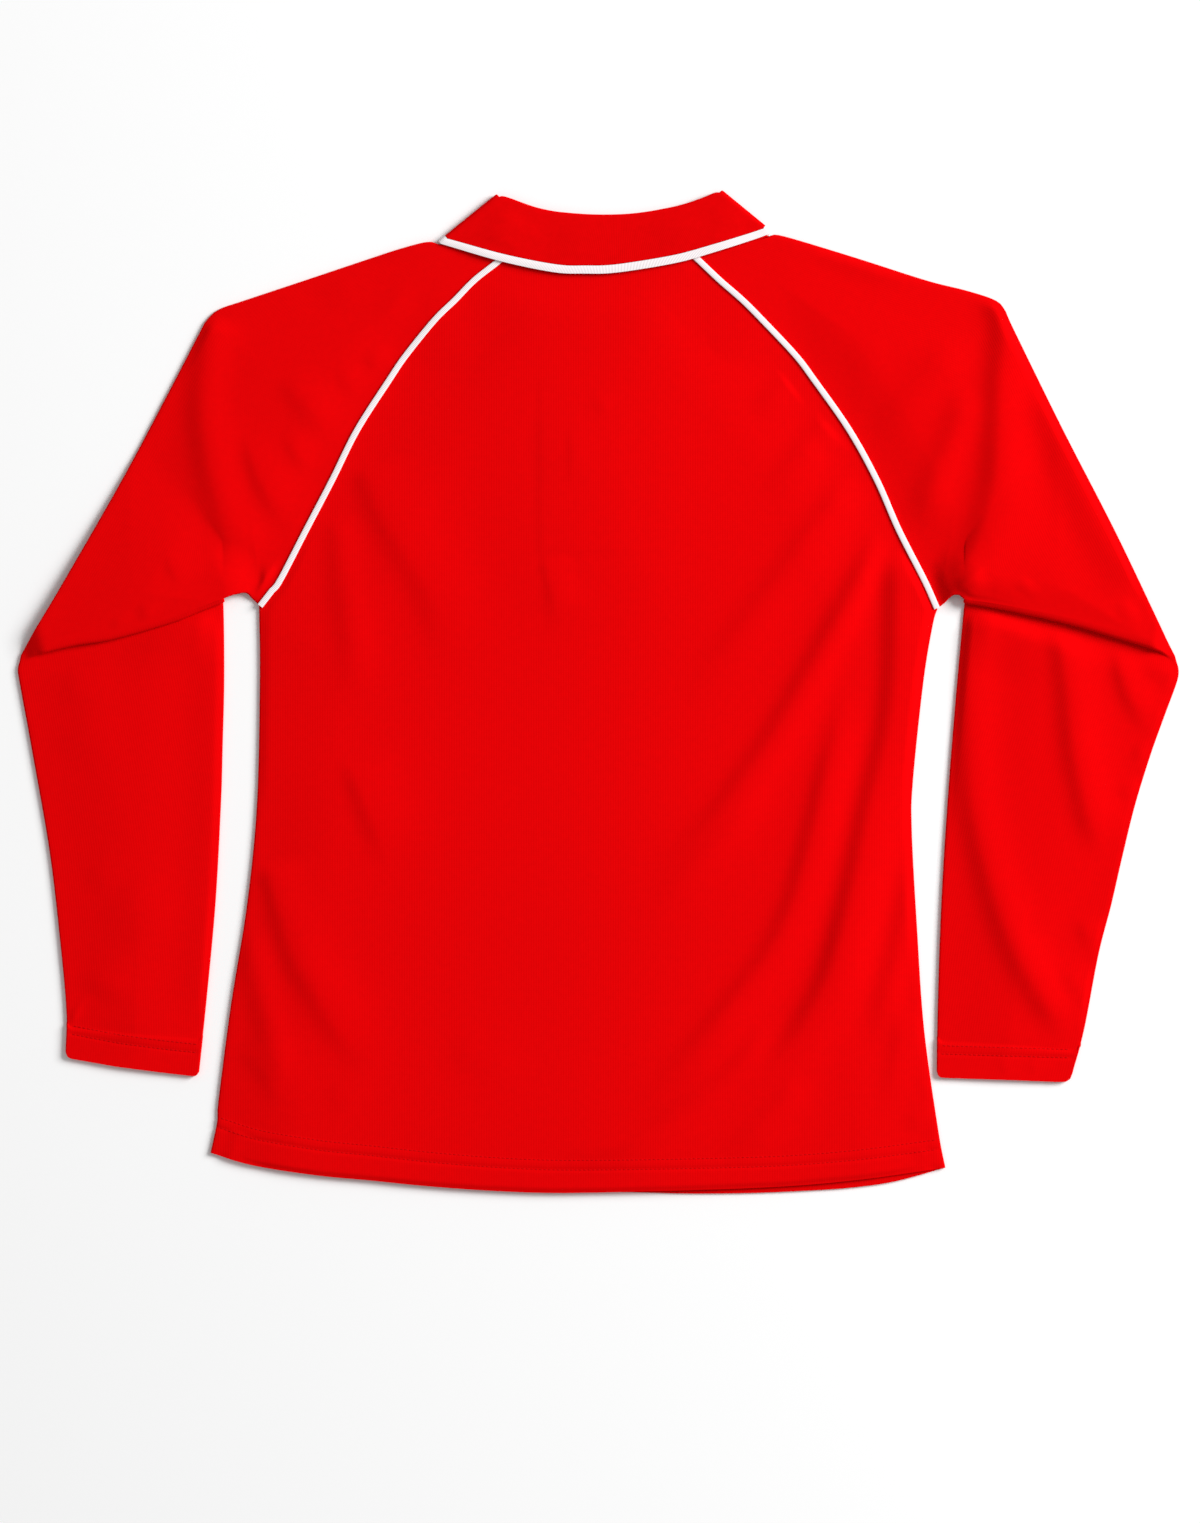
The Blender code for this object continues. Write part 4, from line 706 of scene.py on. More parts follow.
pieces = {}
pieces["back"] = panel("back_cloth", (RAGLAN_LEFT, RAGLAN_RIGHT), lowered(NECK_BACK), HEM_BACK, back_height, 1,
                       (96, 112, 26), ((None, 176),), RED_KNIT)
front_neck = lowered(NECK_FRONT_LEFT + NECK_FRONT_RIGHT[::-1])
pieces["front"] = panel("front_cloth", (FRONT_RAGLAN_LEFT, FRONT_RAGLAN_RIGHT), front_neck, HEM_FRONT, front_height, -1,
                        (48, 60, 8), ((PLACKET["left"] - SEAM_GAP, 36), (PLACKET["right"] + SEAM_GAP, 6), (None, 36)),
                        RED_KNIT)
print({key: len(piece.data.polygons) for key, piece in pieces.items()}, "faces")

# %% [markdown]
# ## Sleeves
# A raglan sleeve is one tube. It leaves the body along the raglan seam, turns back under itself at the elbow, and
# the forearm comes out below. The tube is a stack of flattened rings. Each ring has an upper and a lower face and
# two round edges. At the elbow the rings tip over through half a turn, back again, and go on to the cuff. The cuff's
# corners are rounded, so its stitches follow a straight line of their own, seam.

# %% Sleeve sizes
Sleeve = namedtuple("Sleeve", "side shoulder outer_upper inner_upper fold outer_lower inner_lower cuff seam")
LEFT = Sleeve(
    side=-1,
    shoulder=(-99.5, 334.2),
    outer_upper=((-113.8, 323.6), (-118, 325.2), (-122.5, 325.6), (-130, 324.2), (-147.9, 319),
                 (-169.7, 311.8), (-212.4, 297.4), (-255.9, 282.9), (-274.5, 276.4), (-283.2, 268.9),
                 (-287.4, 261.9), (-306.2, 225.6), (-344.6, 153.1), (-386, 80.6), (-407.7, 44.4)),
    inner_upper=((-251, 68.8), (-256, 72.8), (-264, 71.4)),
    fold=((-417.7, 27), (-382.8, 35.5), (-357.4, 39.5), (-332.1, 46), (-306, 54), (-290.7, 60.3),
          (-272.8, 67.3)),
    outer_lower=((-419.9, 17.4), (-419, 8.7), (-409.1, -45.7), (-396.7, -118.2), (-388.7, -190.7),
                 (-385.3, -235), (-386, -262.2)),
    inner_lower=((-273.4, 62), (-272.8, 8.7), (-273.9, -40), (-275.1, -81.9), (-279, -154.4),
                 (-285.6, -226.9), (-290.8, -276.6)),
    cuff=((-386, -262.2), (-385.1, -264.4), (-382.4, -265.8), (-350, -271.5), (-320, -275.4),
          (-294, -278.5), (-292, -278.2), (-290.8, -276.6)),
    seam=((-385.1, -264.6), (-350, -271.2), (-320, -275.2), (-291.6, -278.4)))
RIGHT = Sleeve(
    side=1,
    shoulder=(111.5, 338.3),
    outer_upper=((121.5, 329.8), (125.5, 331), (131, 330.2), (142, 327.2), (168.2, 319.3), (192.1, 311.8),
                 (237.1, 297.3), (265.4, 290.1), (286, 283.2), (293.2, 276), (299.6, 262), (335.2, 189.5),
                 (372.2, 117), (407, 44.5)),
    inner_upper=((250.2, 65.6), (256.2, 70.6), (261.5, 70.6)),
    fold=((416.2, 27), (400.2, 34), (371.2, 42.7), (337.9, 52.2), (293.6, 62), (265.5, 66.8)),
    outer_lower=((418.8, 17.4), (417.9, 8.4), (408.1, -18.4), (398.3, -45.9), (387.2, -82), (378.3, -118.4),
                 (369.9, -155.4), (361, -190.9), (351, -245.2), (342.6, -277.4)),
    inner_lower=((265.9, 62), (259.4, -9.4), (253.6, -81.9), (249, -154.4), (246.2, -226.9), (245.2, -276.2)),
    cuff=((342.6, -277.4), (341.4, -280.4), (338.4, -282.4), (332, -282.6), (300, -281.3), (252, -279.7),
          (247.6, -279.4), (245.9, -278.4), (245.2, -276.2)),
    seam=((339.8, -282), (246.2, -279.2)))
COLUMNS, NECK_COLUMNS, UPPER_ROWS, LOWER_ROWS, CUFF_ROWS = 78, 9, 132, 108, 24
TURN_STEPS, EDGE_STEPS = 6, 6           # points round each of the elbow's two turns, and round the tube's edges
FOLD_RADIUS, FOLD_OPEN = 1.47, 22.0     # the turns' radius, and how far along the fold they open to half a turn
UPPER_PUFF, LOWER_PUFF, CRUMPLE = 2.2, 2.0, 3.0     # crowns of the two stretches, and the pushed-up cloth's height
CUFF_DEPTH, CUFF_GROOVE, CUFF_EXTRA = 22.0, 17.0, 0.4
print("rings a sleeve:", UPPER_ROWS + LOWER_ROWS + 2 * (TURN_STEPS + 1))


# %% The shoulder end of a sleeve
def crossing(one, other):
    """Where the lines through two pairs of plan points cross: a + t(b - a), from two linear equations."""
    way, other_way = one[1] - one[0], other[1] - other[0]
    return one[0] + way * np.linalg.solve(np.column_stack([way, -other_way]), other[0] - one[0])[0]


def first_ring(shape, neck, raglan):
    """One face's first ring: along the neck from the shoulder, then down the raglan seam to the armpit.

    Both stretches are moved off their seam, by 0.6 and by half the seam's gap, and meet where they cross. The ring
    ends 1.9 short of the armpit, clear of the side seam.
    """
    neckline = smooth(neck, 200)
    beyond = neckline[neckline[:, 0] * shape.side > raglan[0][0] * shape.side]
    along_neck = resample(np.vstack([beyond, raglan[0]]), np.linspace(0, 1, NECK_COLUMNS + 1))
    along_neck = along_neck + to_the_left(along_neck) * 0.6 * shape.side
    seam = smooth(raglan, COLUMNS - NECK_COLUMNS + 1)
    seam = seam + to_the_left(seam) * SEAM_GAP / 2 * shape.side
    ring = np.vstack([along_neck[:-1], crossing(along_neck[-2:], seam[:2]), seam[1:]])
    ring[-1] -= unit(ring[-1] - ring[-2]) * 1.9
    ring[0] = shape.shoulder
    return ring


# %% The folded elbow
def elbow(shape, along):
    """Middle points and outward ways of the rings through the elbow, and how far each column drops there.

    Each turn is an arc: forward by r sin(a) and down by r(1 - cos(a)). The angle grows to half a turn within
    FOLD_OPEN of the outer elbow, and the depth between the two turns grows from 0.8 towards 9.8 after that.
    """
    crest = resample(smooth(shape.fold, 60), along / along[-1])
    chord = unit(crest[-1] - crest[0])
    forward = np.array([chord[1], -chord[0]]) * -shape.side
    opened = ease(along / FOLD_OPEN)
    blend = opened[:, None]
    forward = unit(unit(np.array(shape.outer_lower[0]) - crest[0]) * (1 - blend) + forward * blend)
    turn = math.pi * np.maximum(opened, 0.01)
    radius = np.maximum(FOLD_RADIUS, 2.4 / turn)
    depth = 0.8 + 9.0 * np.tanh(np.maximum(along - FOLD_OPEN + 2.0, 0.0) / 60.0)
    steps = np.arange(TURN_STEPS + 1) / TURN_STEPS
    states = [(turn * step, radius * np.sin(turn * step), radius * (1 - np.cos(turn * step))) for step in steps]
    advance, fall = states[-1][1] + depth * np.cos(turn), states[-1][2] + depth * np.sin(turn)
    for step in 1 - steps:
        angle = turn * step
        states.append((angle, advance + radius * (np.sin(turn) - np.sin(angle)),
                       fall + radius * (np.cos(angle) - np.cos(turn))))
    drop = states[-1][2]
    rings = [np.column_stack([crest + forward * moved[:, None], HALF + drop - fallen])
             for _, moved, fallen in states]
    ways = [np.column_stack([forward * np.sin(angle)[:, None], np.cos(angle)]) for angle, _, _ in states]
    return np.array(rings), np.array(ways), drop


# %% A whole sleeve
def ring_edge(middle, ways, column, radius):
    """Points round one edge of each flattened ring, on a half circle from its outer face to its under face."""
    out = middle[:, column] - middle[:, 1 if column == 0 else -2]
    way = ways[:, column]
    out = unit(out - way * (out * way).sum(axis=1, keepdims=True))
    angles = np.arange(1, EDGE_STEPS) * math.pi / EDGE_STEPS
    return np.stack([middle[:, column] + radius[:, None] * (way * math.cos(angle) + out * math.sin(angle))
                     for angle in angles], axis=1)


def crown_between(plan, west, east, rise, rims):
    """The lower of the two crowns that rise from the west and from the east edge, each with its own rim."""
    return np.minimum(crowned(nearest_of(plan, west), rise, rims[0]), crowned(nearest_of(plan, east), rise, rims[1]))


def sleeve(name, shape, raglans, necks, upper_folds, lower_folds):
    """A flattened tube from the raglan seam over the elbow to the cuff.

    Upper face = ring's height + HALF + puff. On the upper arm puff is a crown, lower towards the seam and the
    elbow's crest, plus the folds. On the forearm it is a crown that begins clear of the upper arm, plus the folds
    and, towards the crest's inner end, the cloth that the fold pushes up. The upper arm is raised near the crest by
    as much as the folded cloth under it drops.
    """
    length = travelled(smooth(shape.fold, 60))[-1]
    share = np.linspace(0, 1, COLUMNS + 1)
    crest_share = 0.75 * share + 0.25 * share ** 2
    along = crest_share * length
    elbow_rings, elbow_ways, drop = elbow(shape, along)
    crest = elbow_rings[0, :, :2]
    under = (crest[0], elbow_rings[-1, -1, :2], crest[-1])

    down = np.linspace(0, 1, UPPER_ROWS + 1)
    uppers, edges = [], []
    for raglan, neck in zip(raglans, necks):
        ring = first_ring(shape, neck, raglan)
        ring_share = travelled(ring) / travelled(ring)[-1]
        shares = ring_share * (1 - down[:, None]) + crest_share * down[:, None]
        outer_edge = smooth((tuple(ring[0]),) + shape.outer_upper + (tuple(crest[0]),), down)
        inner_edge = smooth((tuple(ring[-1]),) + shape.inner_upper + (tuple(crest[-1]),), down)
        plan = patch(ring, crest, outer_edge, inner_edge, shares, down, 2.5)
        if uppers:
            plan = uppers[0][..., :2] + (plan - uppers[0][..., :2]) * falls(down, 0.4)[:, None, None]
        lift = np.interp((plan - crest[0]) @ unit(crest[-1] - crest[0]), along, drop)
        ramp = np.clip(20.0 + 1.5 * (np.abs(plan[..., 0]) - abs(crest[-1][0])), 20.0, 120.0)
        near = falls(from_shape(plan, under) - 2.5, ramp + 12.0) * ease((from_line(plan, raglan)[0] - 3.5) / 12.0)
        uppers.append(np.dstack([plan, HALF + leaf_lift(plan) + lift * near]))
        edges.append((outer_edge, inner_edge))

    start = elbow_rings[-1, :, :2]
    down = np.concatenate([np.linspace(0, 0.92, LOWER_ROWS - CUFF_ROWS + 1)[:-1], np.linspace(0.92, 1, CUFF_ROWS + 1)])
    outer_edge = smooth((tuple(start[0]),) + shape.outer_lower, down)
    inner_edge = smooth((tuple(start[-1]),) + shape.inner_lower, down)
    cuff = resample(np.array(shape.cuff), crest_share)
    plan = patch(start, cuff, outer_edge, inner_edge, np.tile(crest_share, (len(down), 1)), down)
    to_cuff = from_line(plan, shape.seam)[0]
    extra = CUFF_EXTRA * falls(to_cuff.mean(axis=1, keepdims=True) - CUFF_DEPTH, 3.0)
    lower = np.dstack([plan, np.broadcast_to(HALF + extra, plan.shape[:2])])

    tops, ways = [], []
    for upper in uppers:
        tops.append(np.concatenate([upper[:-1], elbow_rings, lower[1:]]))
        flat_ways = [grid_normals(part) for part in (upper[:-1], lower[1:])]
        flat_ways = [way * np.sign(way[..., 2:]) for way in flat_ways]
        ways.append(np.concatenate([flat_ways[0], elbow_ways, flat_ways[1]]))
    top, bottom = tops
    extra = np.concatenate([np.zeros(len(top) - LOWER_ROWS), extra[1:, 0]])

    puff = np.zeros(top.shape[:2])
    plan = uppers[0][:-1, :, :2]
    to_edge = nearest_of(plan, *edges[0])
    to_seam = np.minimum(from_line(plan, raglans[0])[0] - 3.5, from_line(plan, smooth(necks[0], 40))[0])
    to_crest = from_line(plan, crest)[0]
    crown = crown_between(plan, *edges[0][::-shape.side], UPPER_PUFF, (0.1, 0.2))
    crown = np.minimum(crown, UPPER_PUFF * ease(to_seam / 40.0))
    crown = np.minimum(crown, 0.4 + 1.8 * ease(to_crest / 25.0))
    folded = folds_height(plan, upper_folds) * ease(to_edge / 5.0) * ease(to_seam / 6.0) * ease(to_crest / 5.0)
    puff[:UPPER_ROWS] = np.maximum(crown + folded, 0.0)
    plan = lower[1:, :, :2]
    to_edge = nearest_of(plan, outer_edge, inner_edge)
    along_crest = from_line(plan, crest)[1]
    below_crest = from_shape(plan, under) - 1.5
    clear = ease(below_crest / (30.0 - 23.0 * along_crest))
    crown = crown_between(plan, *(outer_edge, inner_edge)[::-shape.side], LOWER_PUFF, (0.1, 0.2))
    crown = crown + CRUMPLE * falls(below_crest - 6.0, 44.0) * ease((along_crest - 0.4) / 0.4) * ease(to_edge / 20.0)
    folded = folds_height(plan, lower_folds) * ease(to_edge / 5.0) * ease(below_crest / 14.0)
    puff[-LOWER_ROWS:] = np.maximum(crown * clear + folded, 0.0)
    puff[-LOWER_ROWS:] *= (0.35 + 0.65 * ease((to_cuff[1:] - 12.0) / 20.0))
    puff[-LOWER_ROWS:] -= 0.4 * groove(to_cuff[1:] - CUFF_GROOVE) * ease(to_edge / 4.0)
    puff *= 1.0 - leaf_lift(top[..., :2]) / LEAF_LIFT

    skins = []
    for depth in (0.0, 1.0):        # the outer skin, then the inner one, a wall deeper and more at the cuff
        half = HALF + extra - depth * (WALL + extra)
        above = top + ways[0] * (half[:, None] + puff)[..., None]
        below = bottom - ways[1] * half[:, None, None]
        skins.append(np.concatenate([above, ring_edge(top, ways[0], -1, half), below[:, ::-1],
                                     ring_edge(top, ways[0], 0, half)[:, ::-1]], axis=1))
    closed = np.concatenate([skins[0], skins[0][:, :1]], axis=1)
    around = travelled(closed, axis=1)
    down_arm = np.concatenate([[0.0], np.cumsum(np.linalg.norm(np.diff(closed, axis=0), axis=2).mean(axis=1))])
    cloth = np.dstack([around, np.broadcast_to(-down_arm[:, None], around.shape)])
    return wall(name, skins[0], skins[1], cloth, RED_KNIT, around=True), skins[0][:, :COLUMNS + 1]


# %% Both sleeves
pieces["sleeve_left"], left_face = sleeve(
    "sleeve_left_cloth", LEFT, (RAGLAN_LEFT, FRONT_RAGLAN_LEFT), (NECK_BACK, NECK_FRONT_LEFT), LEFT_UPPER_FOLDS,
    LEFT_LOWER_FOLDS)
pieces["sleeve_right"], right_face = sleeve(
    "sleeve_right_cloth", RIGHT, (RAGLAN_RIGHT, FRONT_RAGLAN_RIGHT), (NECK_BACK[::-1], NECK_FRONT_RIGHT),
    RIGHT_UPPER_FOLDS, RIGHT_LOWER_FOLDS)
for key in ("sleeve_left", "sleeve_right"):
    print(key, len(pieces[key].data.polygons), "faces")

# %% [markdown]
# ## Collar
# The collar is a knitted band. It stands up from the neck seam, rolls over, and its leaf comes down outside the
# shirt, with a white tape along its edge. Laid flat, the band wraps round the neck's two sides: above the back it
# faces up, below the front it faces down. One row of points runs across the band at each place along it.

# %% Collar
COLLAR_MID, STAND, LEAF = 2.9, 0.8, 2.3      # the height that the layers wrap round, and their distance from it
COLLAR_WALL, EDGE_TAPE = 1.2, 5.9
TAPE_POINTS, STAND_POINTS = 7, 13       # across the tape, and up the stand and over the roll
Station = namedtuple("Station", "roll stand leaf way slope")


def collar_stations(back=84, front=28, side_steps=10):
    """Places along the collar from its left front end round the back to its right front end.

    way is the direction out of the garment: down at the front, up at the back, turning over half a circle between.
    """
    up = np.array([0.0, 0.0, 1.0])
    fronts = []
    for lines in ((ROLL_FRONT_LEFT, NECK_FRONT_LEFT, LEAF_FRONT_LEFT),
                  (ROLL_FRONT_RIGHT, NECK_FRONT_RIGHT, LEAF_FRONT_RIGHT)):
        fronts.append([Station(*points, -up, 0.0) for points in zip(*(smooth(line, front) for line in lines))])
    shares = np.linspace(0, 1, back)
    slopes = 1.6 * ease(np.minimum(shares, 1 - shares) / 0.15)
    lines = [smooth(line, back) for line in (ROLL_BACK, NECK_BACK, LEAF_BACK)]
    middle = [Station(*points, up, slope) for *points, slope in zip(*lines, slopes)]
    sides = []
    for station, turned in ((middle[0], 1), (middle[-1], -1)):
        run = unit(station.leaf - station.roll)
        out = np.array([run[1], -run[0], 0.0]) * turned
        turns = np.arange(1, side_steps) * math.pi / side_steps
        sides.append([station._replace(way=up * math.cos(turn) + out * math.sin(turn)) for turn in turns])
    return fronts[0][::-1] + sides[0][::-1] + middle + sides[1] + fronts[1]


def collar_row(station):
    """Middle points and outward ways across the band: up the stand, round the roll's half circle, down the leaf."""
    roll, stand, leaf = (np.append(point, COLLAR_MID) for point in (station.roll, station.stand, station.leaf))
    length = np.linalg.norm(leaf - roll)
    bulge = -unit(unit(stand - roll) + unit(leaf - roll))
    radius = (LEAF - STAND) / 2
    row = [(stand + (roll - stand) * share + station.way * STAND, -station.way) for share in (0, 0.25, 0.5, 0.75)]
    for angle in np.linspace(-math.pi / 2, math.pi / 2, 9):
        way = bulge * math.cos(angle) + station.way * math.sin(angle)
        row.append((roll + station.way * (STAND + radius) + way * radius, way))
    leaf_end, tape_start = length - EDGE_TAPE - SEAM_GAP, length - EDGE_TAPE
    for run in (*np.linspace(0, leaf_end, 13)[1:], *np.linspace(tape_start, length, TAPE_POINTS)):
        rise = np.array([0.0, 0.0, station.slope * run / length])
        row.append((roll + (leaf - roll) * run / length + station.way * LEAF + rise, station.way))
    return row


COLLAR_FOLDS = (
    Fold(0.7, 10, 20, ((-62, 350), (-78, 322)), 0.3, 0.3),
    Fold(0.6, 14, 26, ((-20, 345), (-14, 310)), 0.3, 0.3),
    Fold(0.8, 16, 24, ((52, 348), (62, 318)), 0.3, 0.3),
    Fold(0.6, 10, 12, ((88, 358), (96, 332)), 0.3, 0.3),
)
rows = [collar_row(station) for station in collar_stations()]
middle = np.array([[point for point, _ in row] for row in rows])
ways = np.array([[way for _, way in row] for row in rows])
wave = folds_height(middle[..., :2], COLLAR_FOLDS) * (ways[..., 2] > 0.9)
wave[:, :STAND_POINTS] = 0.0
middle += ways * wave[..., None]
across = travelled(middle, axis=1)
around = travelled(middle[:, -1])[:, None]
cloth = np.dstack([np.broadcast_to(around, across.shape), across])
band, tape = slice(None, -TAPE_POINTS), slice(-TAPE_POINTS, None)
crown = 0.25 * np.sin(np.linspace(0, math.pi, TAPE_POINTS))[None, :, None]
outer, inner = middle + ways * COLLAR_WALL / 2, middle - ways * COLLAR_WALL / 2
pieces["collar"] = wall("collar_band", outer[:, band], inner[:, band], cloth[:, band], RED_RIB)
crown = crown * np.maximum(ways[:, tape, 2:], 0.0)
pieces["collar_tape"] = wall("collar_edge_tape", outer[:, tape] + ways[:, tape] * crown, inner[:, tape],
                             cloth[:, tape, ::-1], WHITE_TAPE)
print("collar", len(pieces["collar"].data.polygons), "faces; tape", round(float(around[-1, 0])), "mm long")

# %% [markdown]
# ## Raglan tapes
# A flat woven tape, 4.2 mm wide, is sewn over each raglan seam. Its edges are a little lower than its middle.


# %% Raglan tapes
TAPE_HALF = 2.1


def raglan_tape(name, raglan, shift):
    """A tape carried along the seam, moved to its left by shift: seven points across it, 0.25 higher in the middle."""
    seam = smooth(raglan, 150)
    seam[0] += unit(seam[1] - seam[0]) * 1.0
    seam[-1] += unit(seam[-2] - seam[-1]) * 0.6
    offsets = np.linspace(-TAPE_HALF, TAPE_HALF, TAPE_POINTS)
    plan = seam[:, None] + to_the_left(seam)[:, None] * (offsets + shift)[None, :, None]
    under = 2 * HALF + leaf_lift(plan) + SEAM_GAP
    top = under + 0.85 + 0.25 * np.sqrt(np.maximum(1 - (offsets / TAPE_HALF) ** 4, 0))[None, :]
    cloth = np.dstack(np.broadcast_arrays(offsets[None, :], travelled(seam)[:, None]))
    return wall(name, np.dstack([plan, top]), np.dstack([plan, under]), cloth, WHITE_TAPE)


pieces["tape_left"] = raglan_tape("raglan_left_tape", RAGLAN_LEFT, 0.6)
pieces["tape_right"] = raglan_tape("raglan_right_tape", RAGLAN_RIGHT, -0.3)
print("raglan tapes", [round(float(travelled(smooth(line, 150))[-1])) for line in (RAGLAN_LEFT, RAGLAN_RIGHT)], "mm")

# %% [markdown]
# ## Placket and buttons
# The placket is two bands of cloth at the front of the neck, one over the other, closed by three buttons. The shirt
# lies on it, so only its outline shows through the back. Each band is a wall with softened edges.


# %% Placket
def placket_band(name, left, right, foot, under):
    """A band from its foot to the front neck seam, thinner by 0.3 on each face within 1 of its edges."""
    across = np.concatenate([[left, left + 0.3, left + 1.0], np.linspace(left + 3, right - 3, 9),
                             [right - 1.0, right - 0.3, right]])
    neck = smooth(NECK_FRONT_LEFT + NECK_FRONT_RIGHT[::-1], 300)
    top = np.interp(across, neck[:, 0], neck[:, 1]) - SEAM_GAP - 0.1
    down = np.concatenate([np.linspace(1, 0.02, 48), [0.01, 0.0]])[:, None]
    plan = np.dstack([np.broadcast_to(across, (50, len(across))), foot + (top[None] - foot) * down])
    edge = np.minimum(np.minimum(plan[..., 0] - left, right - plan[..., 0]), plan[..., 1] - foot)
    soft = 0.3 * falls(edge, 1.0)
    return wall(name, np.dstack([plan, under + WALL - soft]), np.dstack([plan, under + soft]), plan, RED_KNIT)


left, right, foot = PLACKET["left"], PLACKET["right"], PLACKET["foot"]
pieces["placket_upper"] = placket_band("placket_upper_band", left, right, foot, PLACKET_LIFT)
pieces["placket_under"] = placket_band("placket_under_band", left + 1.0, right - 1.0, foot + 3.0, 3.6)


# %% Buttons
BUTTON_PROFILE = np.array([     # (radius, height) from the middle of the face round the rim to the back
    (0.0, 0.5), (0.4, 0.5), (0.8, 0.5), (1.1, 0.5), (1.4, 0.5), (1.7, 0.5), (2.0, 0.5), (2.3, 0.5), (2.6, 0.5),
    (3.0, 0.42), (3.6, 0.22), (4.2, 0.06), (4.7, 0.0), (5.1, 0.02), (5.35, 0.12), (5.5, 0.35), (5.5, 1.5), (5.3, 1.8),
    (4.8, 2.0), (0.0, 2.0)])
BUTTON_SPOKES, DISHED = 64, 9       # points round a button, and how many of its rings are in the dished middle


def button(name, x, y):
    """A turned button, face down: its profile spun round, with a dished middle and four holes.

    Each hole is a dip of 0.6 within 0.55 of its centre that fades out at 0.85.
    """
    radius, height = BUTTON_PROFILE.T[..., None]
    angle = np.arange(BUTTON_SPOKES) * 2 * math.pi / BUTTON_SPOKES
    grid = np.dstack(np.broadcast_arrays(x + radius * np.cos(angle), y + radius * np.sin(angle), height + 0 * angle))
    for hole_x, hole_y in ((1, 1), (1, -1), (-1, -1), (-1, 1)):
        gap = np.linalg.norm(grid[:DISHED, :, :2] - (x + 1.15 * hole_x, y + 1.15 * hole_y), axis=-1)
        grid[:DISHED, :, 2] += 0.6 * falls(gap - 0.55, 0.3)
    points = np.vstack([grid[0, :1], grid[1:-1].reshape(-1, 3), grid[-1, :1]])
    quads = grid_quads(len(radius) - 2, BUTTON_SPOKES, around=True).reshape(-1, 4) + 1
    last = len(points) - 1
    first_row = np.arange(BUTTON_SPOKES) + 1
    last_row = first_row + last - BUTTON_SPOKES - 1
    caps = [np.stack([np.zeros_like(first_row), np.roll(first_row, -1), first_row], axis=1),
            np.stack([np.full_like(last_row, last), last_row, np.roll(last_row, -1)], axis=1)]
    return mesh_object(name, points, np.vstack([quads[:, [0, 1, 2]], quads[:, [0, 2, 3]], *caps]), BUTTON_RESIN, 40)


for number, y in enumerate((250.0, 200.0, 150.0), 1):
    pieces[f"button_{number}"] = button(f"button_{number}_face_down", -10.0, y)
print("placket and", sum(key.startswith("button") for key in pieces), "buttons")

# %% [markdown]
# ## Stitching
# The hem and the cuffs are closed with a twin needle: two rows of stitches, 7 mm apart on the hem and 6 mm on the
# cuffs. Each stitch is 2.4 mm of thread pressed into the knit, which dips most along the lower row.


# %% Stitching
def stitch_row(name, line, height, stitch=2.4, gap=0.8, radius=0.32):
    """A row of stitches along a plan line, sunk a little into the cloth whose height a function gives.

    Each stitch is a bead: five rings of six points, of radius r sqrt(1 - 0.85 t^2) for t from -1 to 1 along it.
    """
    count = int(travelled(line)[-1] / (stitch + gap))
    centres = resample(line, (np.arange(count) + 0.5) / count)
    ways = unit(np.gradient(centres, axis=0))
    sides = np.stack([-ways[:, 1], ways[:, 0]], axis=1)
    level = height(centres)
    t = np.linspace(-1, 1, 5)
    thick = radius * np.sqrt(np.maximum(1 - 0.85 * t ** 2, 0))
    angle = np.arange(6) * math.pi / 3
    run = t[:, None] * stitch / 2 + 0 * angle
    out, up = thick[:, None] * np.cos(angle), thick[:, None] * np.sin(angle) * 0.6
    plan = centres[:, None, None] + ways[:, None, None] * run[..., None] + sides[:, None, None] * out[..., None]
    points = np.concatenate([plan, (level[:, None, None] + 0.1 + up)[..., None]], axis=-1)
    one = np.vstack([grid_quads(5, 6, around=True).reshape(-1, 4), [[3, 2, 1, 0], [5, 4, 3, 0]],
                     [[24, 25, 26, 27], [24, 27, 28, 29]]])
    faces = (one[None] + 30 * np.arange(count)[:, None, None]).reshape(-1, 4)
    # The thread's material is painted darker, as painted shade for the sunk stitches.
    return mesh_object(name, points.reshape(-1, 3), faces, THREAD_PAINTED_SHADE, 80)


def shifted(line, distance):
    """A plan line moved to its left by a distance."""
    return line + to_the_left(line) * distance


def surface_of(grid):
    """A function that gives a grid's height at plan points, as the mean of its four nearest points'."""
    plan, level = grid[..., :2].reshape(-1, 2), grid[..., 2].reshape(-1)

    def height(points):
        gaps = np.linalg.norm(plan[None] - points[:, None], axis=2)
        nearest = np.argsort(gaps, axis=1)[:, :4]
        return level[nearest].mean(axis=1)
    return height


def add_stitches():
    """Two rows round the back hem and two on each cuff's upper face."""
    rows = []
    hem = smooth(HEM_BACK, 400)
    for row, beyond in enumerate((0.0, TWIN_ROWS), 1):
        line = shifted(hem, hem_line(hem[:, :1]) + beyond)
        line = line[(line[:, 0] > -275.0) & (line[:, 0] < 245.0)]
        rows.append(stitch_row(f"hem_stitches_{row}", line, back_height))
    for side, shape, face in (("left", LEFT, left_face), ("right", RIGHT, right_face)):
        face = face[-CUFF_ROWS:]
        for row, distance in enumerate((CUFF_GROOVE, CUFF_GROOVE + 6.0), 1):
            cuff = shifted(smooth(shape.seam, 100), -shape.side * distance)
            low, high = np.sort(face[np.abs(face[:, COLUMNS // 2, 1] - cuff[50, 1]).argmin()][[0, -1], 0])
            line = cuff[(cuff[:, 0] > low + 2) & (cuff[:, 0] < high - 2)]
            rows.append(stitch_row(f"cuff_{side}_stitches_{row}", line, surface_of(face)))
    return rows


stitch_rows = add_stitches()
print("stitches:", [len(row.data.polygons) // 28 for row in stitch_rows])

# %% [markdown]
# ## The front's tapes and the cloth sizes
# The front raglan seams are taped too. The shirt rests on them, so there they are a change of colour in the cloth's
# underside and not a raised strip. Every piece rides on the shirt's one body and takes the place of its solid, and a
# table lists the size that each cloth piece was cut to, all round where it is a tube.


# %% Front tapes
FRONT_TAPE_HALF = 2.65


